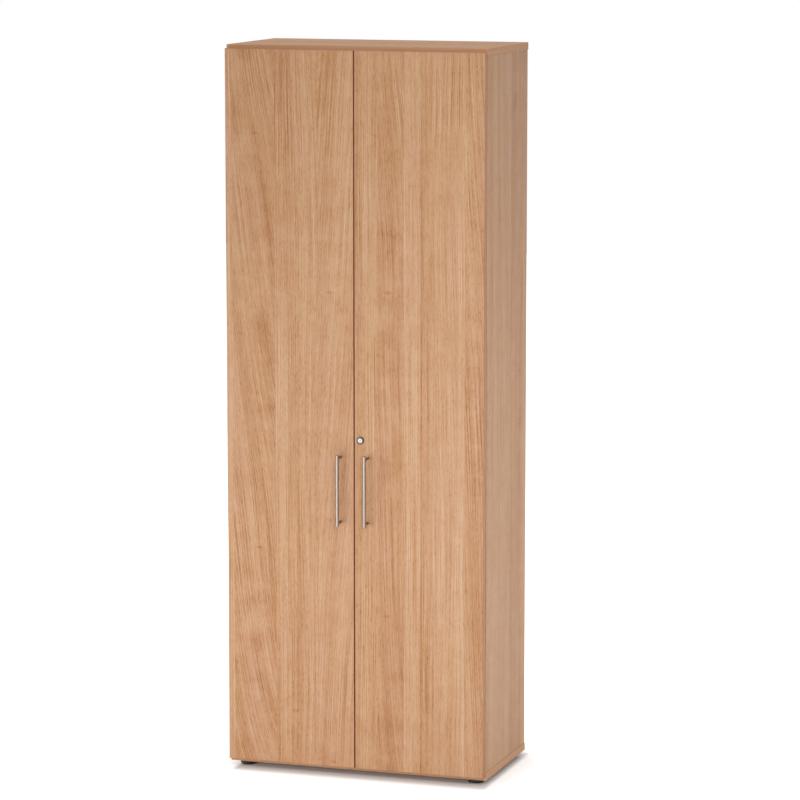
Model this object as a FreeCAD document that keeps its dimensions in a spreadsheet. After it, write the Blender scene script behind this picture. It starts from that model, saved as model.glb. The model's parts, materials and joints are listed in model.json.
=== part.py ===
import FreeCAD, Part
import os
import re
import Sketcher

# Driving sizes of the cabinet, in millimetres and degrees
SIZES = {
    # Boards of the carcass
    "cabinet_width": 800,
    "cabinet_height": 2156,
    "carcass_depth": 398,
    "panel_thickness": 22,
    "panel_overhang": 2,
    "panel_edge_radius": 1.5,
    "side_thickness": 19,
    "shelf_thickness": 19,
    "shelf_setback": 45,
    "shelf_clearance": 1,
    "shelf_edge_radius": 1.5,
    "back_thickness": 8,
    "back_inset": 10,
    "groove_depth": 7,
    "groove_clearance": 0.1,
    "groove_end_room": 0.5,
    # Cams, bolts and dowels at the board joints
    "joint_inset": 60,
    "dowel_spacing": 32,
    "dowel_radius": 4,
    "dowel_in_end": 24,
    "dowel_in_face": 11,
    "cam_radius": 7.5,
    "cam_height": 13,
    "cam_distance": 34,
    "bolt_radius": 3,
    "bolt_in_face": 11,
    "bore_fit": 0.05,
    "bore_end_room": 0.5,
    # Shelf pins and their rows of holes
    "pin_radius": 2.5,
    "pin_in_side": 9,
    "pin_head_radius": 3.5,
    "pin_head_length": 9,
    "pin_seat": 2.5,
    "pin_inset": 45,
    "pin_pitch": 32,
    # Doors
    "door_thickness": 19,
    "door_gap": 3,
    "door_middle_gap": 3,
    "door_inset": 0.5,
    "door_reveal": 11,
    "door_edge_radius": 2,
    "bumper_radius": 4,
    "bumper_inset": 60,
    # Bar handles
    "handle_height": 862,
    "handle_inset": 40.5,
    "handle_length": 212,
    "handle_radius": 5,
    "handle_end_radius": 0.8,
    "handle_reach": 30,
    "handle_spacing": 192,
    "post_radius": 4,
    "handle_screw_radius": 2,
    "handle_screw_in_post": 10,
    "handle_screw_head_radius": 4,
    "handle_screw_head_height": 2.2,
    # Concealed cup hinges
    "hinge_end_inset": 100,
    "hinge_inner_offset": 274,
    "pivot_depth": 9.5,
    "pivot_edge": 8.5,
    "hinge_pin_radius": 1.5,
    "hinge_fit": 0.05,
    "eye_radius": 3.2,
    "nose_half_width": 5,
    "nose_thickness": 3,
    "neck_standoff": 4.5,
    "neck_inner_bevel": 1,
    "neck_outer_bevel": 2.5,
    "neck_rise": 4,
    "arm_height": 11.5,
    "arm_thickness": 2.5,
    "arm_half_width": 8,
    "arm_flange": 1.6,
    "arm_flange_room": 0.3,
    "arm_front": 14,
    "arm_rear": 62,
    "plate_thickness": 2.5,
    "plate_half_width": 9,
    "plate_front": 18,
    "plate_rear": 56,
    "rib_half_width": 6,
    "wing_radius": 8,
    "plate_screw_inset": 37,
    "plate_screw_offset": 16,
    "plate_screw_radius": 3,
    "plate_screw_in_side": 11,
    "plate_screw_head_radius": 4.5,
    "plate_screw_head_height": 2.2,
    "arm_screw_inset": 50,
    "arm_adjuster_inset": 26,
    "arm_screw_radius": 2.5,
    "arm_screw_in_rib": 5,
    "arm_screw_head_radius": 4,
    "arm_screw_head_height": 1.7,
    "cup_radius": 17.5,
    "cup_edge": 3,
    "cup_depth": 14,
    "cup_wall": 0.8,
    "cup_flange_height": 0.8,
    "cup_rim": 0.5,
    "cup_wing_offset": 9.5,
    "cup_wing_spread": 22.5,
    "cup_wing_radius": 5.5,
    "cup_screw_radius": 2,
    "cup_screw_in_door": 11,
    "cup_screw_head_radius": 3.5,
    "cup_screw_head_height": 1,
    "ear_clearance": 0.4,
    "ear_thickness": 3,
    # Lock cylinder, plug and case
    "lock_height": 1010,
    "lock_inset": 18.5,
    "rosette_radius": 10.5,
    "rosette_reach": 5,
    "rosette_taper": 1.5,
    "barrel_radius": 9,
    "barrel_in_case": 6,
    "plug_radius": 6.5,
    "plug_fit": 0.05,
    "plug_recess": 0.6,
    "key_slot_width": 1.6,
    "key_slot_height": 8.5,
    "key_slot_depth": 6,
    "case_depth": 20,
    "case_margin": 13,
    "case_half_height": 28,
    "case_edge_radius": 3,
    "case_flange_reach": 10,
    "case_flange_thickness": 3,
    # Turning rod, hooks, guides and strikes
    "rod_offset": 13,
    "rod_standoff": 12,
    "rod_radius": 4,
    "rod_end_room": 10,
    "rod_fit": 0.05,
    "guide_end_inset": 170,
    "guide_lock_offset": 330,
    "guide_handle_distance": 86,
    "guide_wall": 3,
    "guide_half_height": 7,
    "guide_foot_reach": 10,
    "guide_foot_thickness": 3,
    "hook_height": 5,
    "hook_room": 15,
    "hub_radius": 7,
    "hub_height": 12,
    "claw_inner_radius": 21.5,
    "claw_outer_radius": 25,
    "claw_sweep": 53,
    "claw_start": -18,
    "claw_arm_width": 4,
    "strike_distance": 14,
    "strike_angle": 100,
    "strike_radius": 3.5,
    "strike_length": 24,
    "strike_plate_thickness": 3,
    "strike_plate_reach": 18,
    "strike_plate_half_depth": 9,
    "strike_screw_offset": 12,
    "wood_screw_radius": 1.5,
    "wood_screw_in_board": 12,
    "wood_screw_head_radius": 3,
    "wood_screw_head_height": 1.6,
    # Levelling feet
    "foot_height": 15,
    "foot_side_inset": 42,
    "foot_depth_inset": 40,
    "foot_radius": 25,
    "foot_lower_rounding": 5,
    "foot_upper_rounding": 1,
    "socket_flange_radius": 15,
    "socket_flange_height": 2,
    "socket_radius": 8,
    "spindle_radius": 5,
    "spindle_fit": 0.05,
    "spindle_in_foot": 9,
    "spindle_top_room": 5,
    "cap_radius": 11,
    "cap_height": 1.2,
    "cap_plug_depth": 3.5,
}

SHELVES = ("lowest_shelf", "lower_shelf", "fixed_middle_shelf", "upper_shelf", "highest_shelf")
FIXED_SHELF = SHELVES.index("fixed_middle_shelf")

# Two levels closer than this, in millimetres, are one level
SAME_LEVEL = 1e-4

# Faces, lines and levels of the cabinet, worked out from the sizes; its front looks along minus Y
PLACES = {
    "half_width": "cabinet_width / 2",
    "total_depth": "carcass_depth + door_gap + door_thickness + handle_reach + handle_radius",
    "carcass_back": "total_depth / 2",
    "carcass_front": "carcass_back - carcass_depth",
    "door_back": "carcass_front - door_gap",
    "door_front": "door_back - door_thickness",
    "bar_line": "door_front - handle_reach",
    "inside_bottom": "foot_height + panel_thickness",
    "inside_top": "cabinet_height - panel_thickness",
    "side_outer": "half_width - panel_overhang",
    "side_inner": "side_outer - side_thickness",
    "side_core": "side_inner + side_thickness / 2",
    "back_rear": "carcass_back - back_inset",
    "back_front": "back_rear - back_thickness",
    "back_reach": "groove_depth - groove_end_room",
    "shelf_front": "carcass_front + shelf_setback",
    "shelf_rear": "back_front - shelf_clearance",
    "shelf_end": "side_inner - shelf_clearance",
    "shelf_pitch": f"(inside_top - inside_bottom + shelf_thickness) / {len(SHELVES) + 1}",
    "first_shelf": "inside_bottom + shelf_pitch - shelf_thickness",
    "fixed_core": f"first_shelf + {FIXED_SHELF} * shelf_pitch + shelf_thickness / 2",
    "front_joint": "carcass_front + joint_inset",
    "rear_joint": "back_front - joint_inset",
    "front_dowel": "front_joint + dowel_spacing",
    "rear_dowel": "rear_joint - dowel_spacing",
    "front_pins": "shelf_front + pin_inset",
    "rear_pins": "shelf_rear - pin_inset",
    "door_low": "foot_height + door_reveal",
    "door_high": "cabinet_height - door_reveal",
    "door_outer": "side_outer - door_inset",
    "door_inner": "door_middle_gap / 2",
    "door_middle": "(door_low + door_high) / 2",
    "bumper_x": "door_inner + bumper_inset",
    "handle_x": "door_inner + handle_inset",
    "pivot_x": "door_outer - pivot_edge",
    "pivot_y": "door_back - pivot_depth",
    "nose_front": "pivot_y - nose_thickness / 2",
    "nose_back": "pivot_y + nose_thickness / 2",
    "neck_inner": "side_inner - neck_standoff",
    "neck_outer": "neck_inner - nose_thickness",
    "arm_top": "side_inner - arm_height",
    "arm_under": "arm_top + arm_thickness",
    "plate_top": "side_inner - plate_thickness",
    "cup_x": "door_outer - cup_edge - cup_radius",
    "cup_bottom": "door_back - cup_depth",
    "cup_face": "door_back + cup_flange_height",
    "cup_wing_x": "cup_x - cup_wing_offset",
    "ear_start": "nose_half_width + ear_clearance",
    "ear_end": "ear_start + ear_thickness",
    "lock_x": "door_inner + lock_inset",
    "lock_front": "door_front - rosette_reach",
    "barrel_end": "door_back + barrel_in_case",
    "case_back": "door_back + case_depth",
    "case_screw_offset": "case_half_height + case_flange_reach / 2",
    "case_foot": "door_back + case_flange_thickness",
    "rod_x": "lock_x + rod_offset",
    "rod_y": "door_back + rod_standoff",
    "guide_radius": "rod_radius + guide_wall",
    "guide_foot": "door_back + guide_foot_thickness",
    "guide_screw_offset": "guide_radius + guide_foot_reach / 2",
    "claw_middle": "(claw_inner_radius + claw_outer_radius) / 2",
    "strike_x": "rod_x + strike_distance * cos(strike_angle * 1deg)",
    "strike_y": "rod_y + strike_distance * sin(strike_angle * 1deg)",
    "foot_x": "half_width - foot_side_inset",
    "front_foot": "carcass_front + foot_depth_inset",
    "rear_foot": "carcass_back - foot_depth_inset",
    "foot_top": "foot_height - socket_flange_height",
    "socket_top": "inside_bottom - cap_plug_depth",
    "spindle_top": "inside_bottom - spindle_top_room",
}

doc = FreeCAD.newDocument("office_cabinet")


def add_sheet(name, cells):
    """A sheet with one named cell to a row."""
    sheet = doc.addObject("Spreadsheet::Sheet", name)
    for row, (alias, text) in enumerate(cells.items(), start=1):
        sheet.set(f"A{row}", alias)
        sheet.set(f"B{row}", text)
        sheet.setAlias(f"B{row}", alias)
    doc.recompute()
    return sheet


def formula(text):
    """The expression for a text that names sizes and places by their plain words."""
    def with_sheet(match):
        word = match.group()
        if word in SIZES:
            return f"Sizes.{word}"
        if word in PLACES:
            return f"Places.{word}"
        return word
    return re.sub(r"[a-z_]+", with_sheet, text)


sizes = add_sheet("Sizes", {alias: str(number) for alias, number in SIZES.items()})
add_sheet("Places", {alias: f"={formula(text)}" for alias, text in PLACES.items()})


def value(text):
    return float(sizes.evalExpression(formula(text)))


def tie(item, **formulas):
    """An object with its properties tied to formulas."""
    for name, text in formulas.items():
        item.setExpression(name, formula(text))
    return item


def move_to(item, point):
    for axis, text in zip("xyz", point):
        item.setExpression(f"Placement.Base.{axis}", formula(text))
    return item


def block(low, high):
    """A box between its lowest and its highest corner."""
    item = doc.addObject("Part::Box", "Block")
    length, width, height = (f"({end}) - ({start})" for start, end in zip(low, high))
    tie(item, Length=length, Width=width, Height=height)
    return move_to(item, low)


AXIS_TURN = {
    "x": FreeCAD.Rotation(FreeCAD.Vector(0, 1, 0), 90),
    "y": FreeCAD.Rotation(FreeCAD.Vector(1, 0, 0), -90),
    "z": FreeCAD.Rotation(),
}


def set_round(item, axis, point, ends):
    """A round solid on an axis through a point, from the lower to the higher of its ends."""
    start, end = ends
    item.Placement = FreeCAD.Placement(FreeCAD.Vector(), AXIS_TURN[axis])
    tie(item, Height=f"({end}) - ({start})")
    corner = list(point)
    corner["xyz".index(axis)] = start
    return move_to(item, corner)


def bar(axis, point, ends, radius):
    item = tie(doc.addObject("Part::Cylinder", "Bar"), Radius=radius)
    return set_round(item, axis, point, ends)


def taper(axis, point, ends, radii):
    item = tie(doc.addObject("Part::Cone", "Taper"), Radius1=radii[0], Radius2=radii[1])
    return set_round(item, axis, point, ends)


def span(level, sense, outward, inward):
    """The ends of a run that reaches to both sides of a level; sense says which way is inward."""
    if sense > 0:
        return f"{level} - ({outward})", f"{level} + ({inward})"
    return f"{level} - ({inward})", f"{level} + ({outward})"


def fuse(*solids):
    if len(solids) == 1:
        return solids[0]
    item = doc.addObject("Part::MultiFuse", "Fusion")
    item.Shapes = list(solids)
    return item


def cut(base, *tools):
    item = doc.addObject("Part::Cut", "Cut")
    item.Base = base
    item.Tool = fuse(*tools)
    return item


def gather(*solids):
    """Separate solids that share one node."""
    item = doc.addObject("Part::Compound", "Group")
    item.Links = list(solids)
    return item


def mirrored(source):
    """The left-hand copy of a right-hand piece."""
    item = doc.addObject("Part::Mirroring", "Mirror")
    item.Source = source
    item.Normal = FreeCAD.Vector(1, 0, 0)
    return item


def rounded(base, radius, wanted):
    """The piece with the edges that a test picks rounded over."""
    doc.recompute()
    item = doc.addObject("Part::Fillet", "Rounding")
    item.Base = base
    size = value(radius)
    item.Edges = [(index, size, size) for index, edge in enumerate(base.Shape.Edges, start=1) if wanted(edge)]
    return item


def lies_at(edge, axis, level):
    """Whether an edge lies wholly at a level of an axis."""
    place = value(level)
    box = edge.BoundBox
    ends = (getattr(box, f"{axis}Min"), getattr(box, f"{axis}Max"))
    return all(abs(end - place) < SAME_LEVEL for end in ends)


def outline(corners, level):
    """A closed sketch at a level, with each corner tied to the sizes."""
    sketch = doc.addObject("Sketcher::SketchObject", "Outline")
    points = [FreeCAD.Vector(value(x), value(y), 0) for x, y in corners]
    following = points[1:] + points[:1]
    for start, end in zip(points, following):
        sketch.addGeometry(Part.LineSegment(start, end))
    for index in range(len(points)):
        joined = (index + 1) % len(points)
        sketch.addConstraint(Sketcher.Constraint("Coincident", index, 2, joined, 1))
    for index, corner in enumerate(corners):
        for kind, text in zip(("DistanceX", "DistanceY"), corner):
            number = sketch.addConstraint(Sketcher.Constraint(kind, -1, 1, index, 1, value(text)))
            sketch.setExpression(f"Constraints[{number}]", formula(text))
    sketch.setExpression("Placement.Base.z", formula(level))
    return sketch


def prism(corners, low, high):
    """A solid that stands on an outline, from one level to another."""
    item = doc.addObject("Part::Extrusion", "Prism")
    item.Base = outline(corners, low)
    item.DirMode = "Custom"
    item.Dir = FreeCAD.Vector(0, 0, 1)
    item.Solid = True
    return tie(item, LengthFwd=f"({high}) - ({low})")


def screw(axis, seat, sense, kind, depth):
    """A screw with its head on a seat and its shank running inward, along an axis."""
    level = seat["xyz".index(axis)]
    head = bar(axis, seat, span(level, sense, f"{kind}_head_height", "0"), f"{kind}_head_radius")
    shank = bar(axis, seat, span(level, sense, "0", depth), f"{kind}_radius")
    return fuse(head, shank)


def screw_bore(axis, seat, sense, kind, depth):
    level = seat["xyz".index(axis)]
    return bar(axis, seat, span(level, sense, "0", f"{depth} + bore_end_room"), f"{kind}_radius + bore_fit")


nodes = []


def node(name, item):
    """A finished sub-part, under the name of its file."""
    item.Label = name
    nodes.append(item)


# Board joints of the right-hand side: each end has two cams with their bolts and two dowels
dowels = []
cam_bolts = []
cam_discs = []
side_bores = []
panel_bores = {"inside_bottom": [], "inside_top": []}
END_FACES = (("inside_bottom", -1), ("inside_top", 1))
for level, sense in END_FACES:
    for y in ("front_dowel", "rear_dowel"):
        spot = ("side_core", y, level)
        reach = span(level, sense, "dowel_in_end", "dowel_in_face")
        dowels.append(bar("z", spot, reach, "dowel_radius"))
        in_end = span(level, sense, "dowel_in_end + bore_end_room", "0")
        side_bores.append(bar("z", spot, in_end, "dowel_radius + bore_fit"))
        in_face = span(level, sense, "0", "dowel_in_face + bore_end_room")
        panel_bores[level].append(bar("z", spot, in_face, "dowel_radius + bore_fit"))
    for y in ("front_joint", "rear_joint"):
        spot = ("side_core", y, level)
        cam_spot = ("side_core", y, f"{level} - ({sense}) * cam_distance")
        reach = span(level, sense, "cam_distance", "bolt_in_face")
        channel = span(level, sense, "cam_distance", "0")
        in_face = span(level, sense, "0", "bolt_in_face + bore_end_room")
        disc = bar("x", cam_spot, ("side_inner", "side_inner + cam_height"), "cam_radius")
        cam_bolts.append(bar("z", spot, reach, "bolt_radius"))
        cam_discs.append(cut(disc, bar("z", spot, channel, "bolt_radius + bore_fit")))
        side_bores.append(bar("z", spot, channel, "bolt_radius + bore_fit"))
        cam_room = ("side_inner", "side_inner + cam_height + bore_end_room")
        side_bores.append(bar("x", cam_spot, cam_room, "cam_radius + bore_fit"))
        panel_bores[level].append(bar("z", spot, in_face, "bolt_radius + bore_fit"))

# The fixed shelf meets the side with the same fittings, lying down, with its cams open to below
shelf_bores = []
fixed_under = "fixed_core - shelf_thickness / 2"
for y in ("front_dowel", "rear_dowel"):
    spot = ("side_inner", y, "fixed_core")
    dowels.append(bar("x", spot, span("side_inner", 1, "dowel_in_end", "dowel_in_face"), "dowel_radius"))
    in_end = span("side_inner", 1, "dowel_in_end + bore_end_room", "0")
    shelf_bores.append(bar("x", spot, in_end, "dowel_radius + bore_fit"))
    in_face = span("side_inner", 1, "0", "dowel_in_face + bore_end_room")
    side_bores.append(bar("x", spot, in_face, "dowel_radius + bore_fit"))
for y in ("front_joint", "rear_joint"):
    spot = ("side_inner", y, "fixed_core")
    cam_spot = ("side_inner - cam_distance", y, "fixed_core")
    channel = span("side_inner", 1, "cam_distance", "0")
    in_face = span("side_inner", 1, "0", "bolt_in_face + bore_end_room")
    disc = bar("z", cam_spot, (fixed_under, f"{fixed_under} + cam_height"), "cam_radius")
    cam_bolts.append(bar("x", spot, span("side_inner", 1, "cam_distance", "bolt_in_face"), "bolt_radius"))
    cam_discs.append(cut(disc, bar("x", spot, channel, "bolt_radius + bore_fit")))
    shelf_bores.append(bar("x", spot, channel, "bolt_radius + bore_fit"))
    cam_room = (fixed_under, f"{fixed_under} + cam_height + bore_end_room")
    shelf_bores.append(bar("z", cam_spot, cam_room, "cam_radius + bore_fit"))
    side_bores.append(bar("x", spot, in_face, "bolt_radius + bore_fit"))

for name, solids in (("dowels", dowels), ("cam_bolts", cam_bolts), ("cam_discs", cam_discs)):
    right_hand = gather(*solids)
    node(name, gather(right_hand, mirrored(right_hand)))

# Shelf pins carry the four loose shelves; each has a spare hole above and below its own
shelf_pins = []
for index in range(len(SHELVES)):
    if index == FIXED_SHELF:
        continue
    under = f"first_shelf + {index} * shelf_pitch"
    for y in ("front_pins", "rear_pins"):
        spot = ("side_inner", y, f"{under} - pin_seat")
        head = bar("x", spot, ("side_inner - pin_head_length", "side_inner"), "pin_head_radius")
        shank = bar("x", spot, ("side_inner", "side_inner + pin_in_side"), "pin_radius")
        flat = block(
            ("side_inner - pin_head_length", f"{y} - pin_head_radius", under),
            ("side_inner", f"{y} + pin_head_radius", f"{under} + pin_head_radius"),
        )
        shelf_pins.append(fuse(cut(head, flat), shank))
        for step in (-1, 0, 1):
            hole = ("side_inner", y, f"{under} - pin_seat + ({step}) * pin_pitch")
            ends = ("side_inner", "side_inner + pin_in_side + bore_end_room")
            side_bores.append(bar("x", hole, ends, "pin_radius + bore_fit"))
right_pins = gather(*shelf_pins)
node("shelf_pins", gather(right_pins, mirrored(right_pins)))

# Concealed hinges: a cup in the door turns about a pin on the cranked arm, which sits on a plate
HINGE_LEVELS = (
    "door_low + hinge_end_inset",
    "door_middle - hinge_inner_offset",
    "door_middle + hinge_inner_offset",
    "door_high - hinge_end_inset",
)
ARM_PROFILE = (
    ("pivot_x", "nose_back"),
    ("neck_inner + neck_inner_bevel", "nose_back"),
    ("neck_inner", "nose_back + neck_inner_bevel"),
    ("neck_inner", "carcass_front + neck_rise"),
    ("arm_under", "carcass_front + arm_front"),
    ("arm_under", "carcass_front + arm_rear"),
    ("arm_top", "carcass_front + arm_rear"),
    ("arm_top", "carcass_front + arm_front"),
    ("neck_outer", "carcass_front + neck_rise"),
    ("neck_outer", "nose_front + neck_outer_bevel"),
    ("neck_outer + neck_outer_bevel", "nose_front"),
    ("pivot_x", "nose_front"),
)


def arm_screw_seats(level):
    insets = ("arm_screw_inset", "arm_adjuster_inset")
    return [("arm_top", f"carcass_front + {inset}", level) for inset in insets]


def plate_screw_seats(level):
    y = "carcass_front + plate_screw_inset"
    return [("plate_top", y, f"{level} {sign} plate_screw_offset") for sign in "-+"]


def cup_screw_seats(level):
    return [("cup_wing_x", "cup_face", f"{level} {sign} cup_wing_spread") for sign in "-+"]


ARM_SCREW_DEPTH = "arm_thickness + arm_screw_in_rib"
PLATE_SCREW_DEPTH = "plate_thickness + plate_screw_in_side"
CUP_SCREW_DEPTH = "cup_flange_height + cup_screw_in_door"


def arm_screw_bores(level):
    return [screw_bore("x", seat, 1, "arm_screw", ARM_SCREW_DEPTH) for seat in arm_screw_seats(level)]


def plate_screw_bores(level):
    return [screw_bore("x", seat, 1, "plate_screw", PLATE_SCREW_DEPTH) for seat in plate_screw_seats(level)]


def cup_screw_bores(level):
    return [screw_bore("y", seat, -1, "cup_screw", CUP_SCREW_DEPTH) for seat in cup_screw_seats(level)]


def hinge_arm(level):
    """Cast arm: a channel over the plate's rib, a crank round the side's edge and an eye for the pin."""
    low = f"{level} - arm_half_width"
    high = f"{level} + arm_half_width"
    front = "carcass_front + arm_front"
    rear = "carcass_front + arm_rear"
    flange_end = "plate_top - arm_flange_room"
    nose = (f"{level} - nose_half_width", f"{level} + nose_half_width")
    pivot = ("pivot_x", "pivot_y", level)
    body = fuse(
        prism(ARM_PROFILE, *nose),
        bar("z", pivot, nose, "eye_radius"),
        block(("arm_top", front, low), ("arm_under", rear, high)),
        block(("arm_top", front, low), (flange_end, rear, f"{low} + arm_flange")),
        block(("arm_top", front, f"{high} - arm_flange"), (flange_end, rear, high)),
    )
    return cut(body, bar("z", pivot, nose, "hinge_pin_radius + hinge_fit"), *arm_screw_bores(level))


def hinge_plate(level):
    """Cross plate with two screwed wings and a rib that the arm sits on."""
    front = "carcass_front + plate_front"
    rear = "carcass_front + plate_rear"
    wing_line = "carcass_front + plate_screw_inset"
    ends = ("plate_top", "side_inner")
    lower = f"{level} - plate_screw_offset"
    upper = f"{level} + plate_screw_offset"
    base = fuse(
        block(("plate_top", front, f"{level} - plate_half_width"),
              ("side_inner", rear, f"{level} + plate_half_width")),
        block(("plate_top", f"{wing_line} - wing_radius", lower),
              ("side_inner", f"{wing_line} + wing_radius", upper)),
        bar("x", ("plate_top", wing_line, lower), ends, "wing_radius"),
        bar("x", ("plate_top", wing_line, upper), ends, "wing_radius"),
        block(("arm_under", front, f"{level} - rib_half_width"),
              ("side_inner", rear, f"{level} + rib_half_width")),
    )
    return cut(base, *plate_screw_bores(level), *arm_screw_bores(level))


def hinge_cup(level):
    """Pressed cup with a screwed flange and two ears that hold the pin."""
    centre = ("cup_x", "door_back", level)
    flange = ("door_back", "cup_face")
    wing_low = f"{level} - cup_wing_spread"
    wing_high = f"{level} + cup_wing_spread"
    shell = fuse(
        bar("y", centre, ("cup_bottom", "door_back"), "cup_radius"),
        bar("y", centre, flange, "cup_radius + cup_rim"),
        block(("cup_wing_x - cup_wing_radius", "door_back", wing_low),
              ("cup_wing_x + cup_wing_radius", "cup_face", wing_high)),
        bar("y", ("cup_wing_x", "door_back", wing_low), flange, "cup_wing_radius"),
        bar("y", ("cup_wing_x", "door_back", wing_high), flange, "cup_wing_radius"),
    )
    hollow = bar("y", centre, ("cup_bottom + cup_wall", "cup_face"), "cup_radius - cup_wall")
    ears = []
    for start, end in ((f"{level} + ear_start", f"{level} + ear_end"),
                       (f"{level} - ear_end", f"{level} - ear_start")):
        ears.append(block(("pivot_x - eye_radius", "cup_bottom", start),
                          ("pivot_x + eye_radius", "pivot_y + eye_radius", end)))
    pin_room = bar("z", ("pivot_x", "pivot_y", level), pin_ends(level), "hinge_pin_radius")
    return cut(fuse(cut(shell, hollow), *ears), pin_room, *cup_screw_bores(level))


def pin_ends(level):
    return f"{level} - ear_end", f"{level} + ear_end"


hinge_arms = []
hinge_arm_screws = []
hinge_plates = []
hinge_plate_screws = []
hinge_cups = []
hinge_cup_screws = []
hinge_pins = []
door_bores = []
for level in HINGE_LEVELS:
    hinge_arms.append(hinge_arm(level))
    hinge_plates.append(hinge_plate(level))
    hinge_cups.append(hinge_cup(level))
    hinge_pins.append(bar("z", ("pivot_x", "pivot_y", level), pin_ends(level), "hinge_pin_radius"))
    for seat in arm_screw_seats(level):
        hinge_arm_screws.append(screw("x", seat, 1, "arm_screw", ARM_SCREW_DEPTH))
    for seat in plate_screw_seats(level):
        hinge_plate_screws.append(screw("x", seat, 1, "plate_screw", PLATE_SCREW_DEPTH))
    for seat in cup_screw_seats(level):
        hinge_cup_screws.append(screw("y", seat, -1, "cup_screw", CUP_SCREW_DEPTH))
    side_bores.extend(plate_screw_bores(level))
    door_bores.extend(cup_screw_bores(level))
    cup_room = ("cup_bottom", "door_back")
    door_bores.append(bar("y", ("cup_x", "door_back", level), cup_room, "cup_radius + bore_fit"))

HINGE_PIECES = (
    ("hinge_arms", hinge_arms),
    ("hinge_arm_screws", hinge_arm_screws),
    ("hinge_plates", hinge_plates),
    ("hinge_plate_screws", hinge_plate_screws),
    ("hinge_cups", hinge_cups),
    ("hinge_cup_screws", hinge_cup_screws),
    ("hinge_pins", hinge_pins),
)
for name, solids in HINGE_PIECES:
    right_hand = gather(*solids)
    node(f"right_{name}", right_hand)
    node(f"left_{name}", mirrored(right_hand))

# Side panels stand between the bottom and the top panel and hold the back in a groove
side_board = block(
    ("side_inner", "carcass_front", "inside_bottom"),
    ("side_outer", "carcass_back", "inside_top"),
)
side_groove = block(
    ("side_inner", "back_front - groove_clearance", "inside_bottom"),
    ("side_inner + groove_depth", "back_rear + groove_clearance", "inside_top"),
)
right_side_panel = cut(side_board, side_groove, *side_bores)
node("right_side_panel", right_side_panel)
node("left_side_panel", mirrored(right_side_panel))

# Handles: a round bar on two posts, each screwed from behind the door
handle_bar = bar(
    "z",
    ("handle_x", "bar_line", "handle_height"),
    ("handle_height - handle_length / 2", "handle_height + handle_length / 2"),
    "handle_radius",
)
handle_bar = rounded(handle_bar, "handle_end_radius", lambda edge: edge.BoundBox.ZLength < SAME_LEVEL)
HANDLE_SCREW_DEPTH = "door_thickness + handle_screw_in_post"
handle_posts = []
handle_screws = []
for sign in "-+":
    spot = ("handle_x", "door_back", f"handle_height {sign} handle_spacing / 2")
    post = bar("y", spot, ("bar_line", "door_front"), "post_radius")
    bore = screw_bore("y", spot, -1, "handle_screw", HANDLE_SCREW_DEPTH)
    handle_posts.append(cut(post, handle_bar, bore))
    handle_screws.append(screw("y", spot, -1, "handle_screw", HANDLE_SCREW_DEPTH))
    through = bar("y", spot, ("door_front", "door_back"), "handle_screw_radius + bore_fit")
    door_bores.append(through)

# Bumpers on the doors meet the front edges of the top and the bottom panel
bumpers = []
for level in ("(door_low + inside_bottom) / 2", "(door_high + inside_top) / 2"):
    spot = ("bumper_x", "door_back", level)
    bumpers.append(bar("y", spot, ("door_back", "carcass_front"), "bumper_radius"))

DOOR_PIECES = (
    ("handle_bar", handle_bar),
    ("handle_posts", gather(*handle_posts)),
    ("handle_screws", gather(*handle_screws)),
    ("door_bumpers", gather(*bumpers)),
)
for name, item in DOOR_PIECES:
    node(f"right_{name}", item)
    node(f"left_{name}", mirrored(item))

# Lock cylinder: a housing with a rosette, through the right door into the lock case, and its plug
lock_line = ("lock_x", "door_front", "lock_height")
rosette_edge = "lock_front + rosette_taper"
housing = fuse(
    taper("y", lock_line, ("lock_front", rosette_edge), ("rosette_radius - rosette_taper", "rosette_radius")),
    bar("y", lock_line, (rosette_edge, "door_front"), "rosette_radius"),
    bar("y", lock_line, ("door_front", "barrel_end"), "barrel_radius"),
)
plug_room = bar("y", lock_line, ("lock_front", "barrel_end"), "plug_radius + plug_fit")
node("lock_cylinder", cut(housing, plug_room))
plug_front = "lock_front + plug_recess"
key_slot = block(
    ("lock_x - key_slot_width / 2", plug_front, "lock_height - key_slot_height / 2"),
    ("lock_x + key_slot_width / 2", f"{plug_front} + key_slot_depth", "lock_height + key_slot_height / 2"),
)
node("lock_plug", cut(bar("y", lock_line, (plug_front, "barrel_end"), "plug_radius"), key_slot))

# Lock case on the inside of the right door, with the rod running through it
case_body = block(
    ("lock_x - case_margin", "door_back", "lock_height - case_half_height"),
    ("rod_x + case_margin", "case_back", "lock_height + case_half_height"),
)
case_body = rounded(case_body, "case_edge_radius", lambda edge: lies_at(edge, "Y", "case_back"))
case_flange = block(
    ("lock_x - case_margin", "door_back", "lock_height - case_half_height - case_flange_reach"),
    ("rod_x + case_margin", "case_foot", "lock_height + case_half_height + case_flange_reach"),
)
case_seats = []
for x in ("lock_x", "rod_x"):
    for sign in "-+":
        case_seats.append((x, "case_foot", f"lock_height {sign} case_screw_offset"))
CASE_SCREW_DEPTH = "case_flange_thickness + wood_screw_in_board"
case_bores = [screw_bore("y", seat, -1, "wood_screw", CASE_SCREW_DEPTH) for seat in case_seats]
rod_spot = ("rod_x", "rod_y", "door_middle")
rod_room = bar("z", rod_spot, ("door_low", "door_high"), "rod_radius + rod_fit")
barrel_room = bar("y", lock_line, ("door_front", "barrel_end"), "barrel_radius + bore_fit")
node("lock_case", cut(fuse(case_body, case_flange), rod_room, barrel_room, *case_bores))
case_screws = [screw("y", seat, -1, "wood_screw", CASE_SCREW_DEPTH) for seat in case_seats]
node("lock_case_screws", gather(*case_screws))

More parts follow.
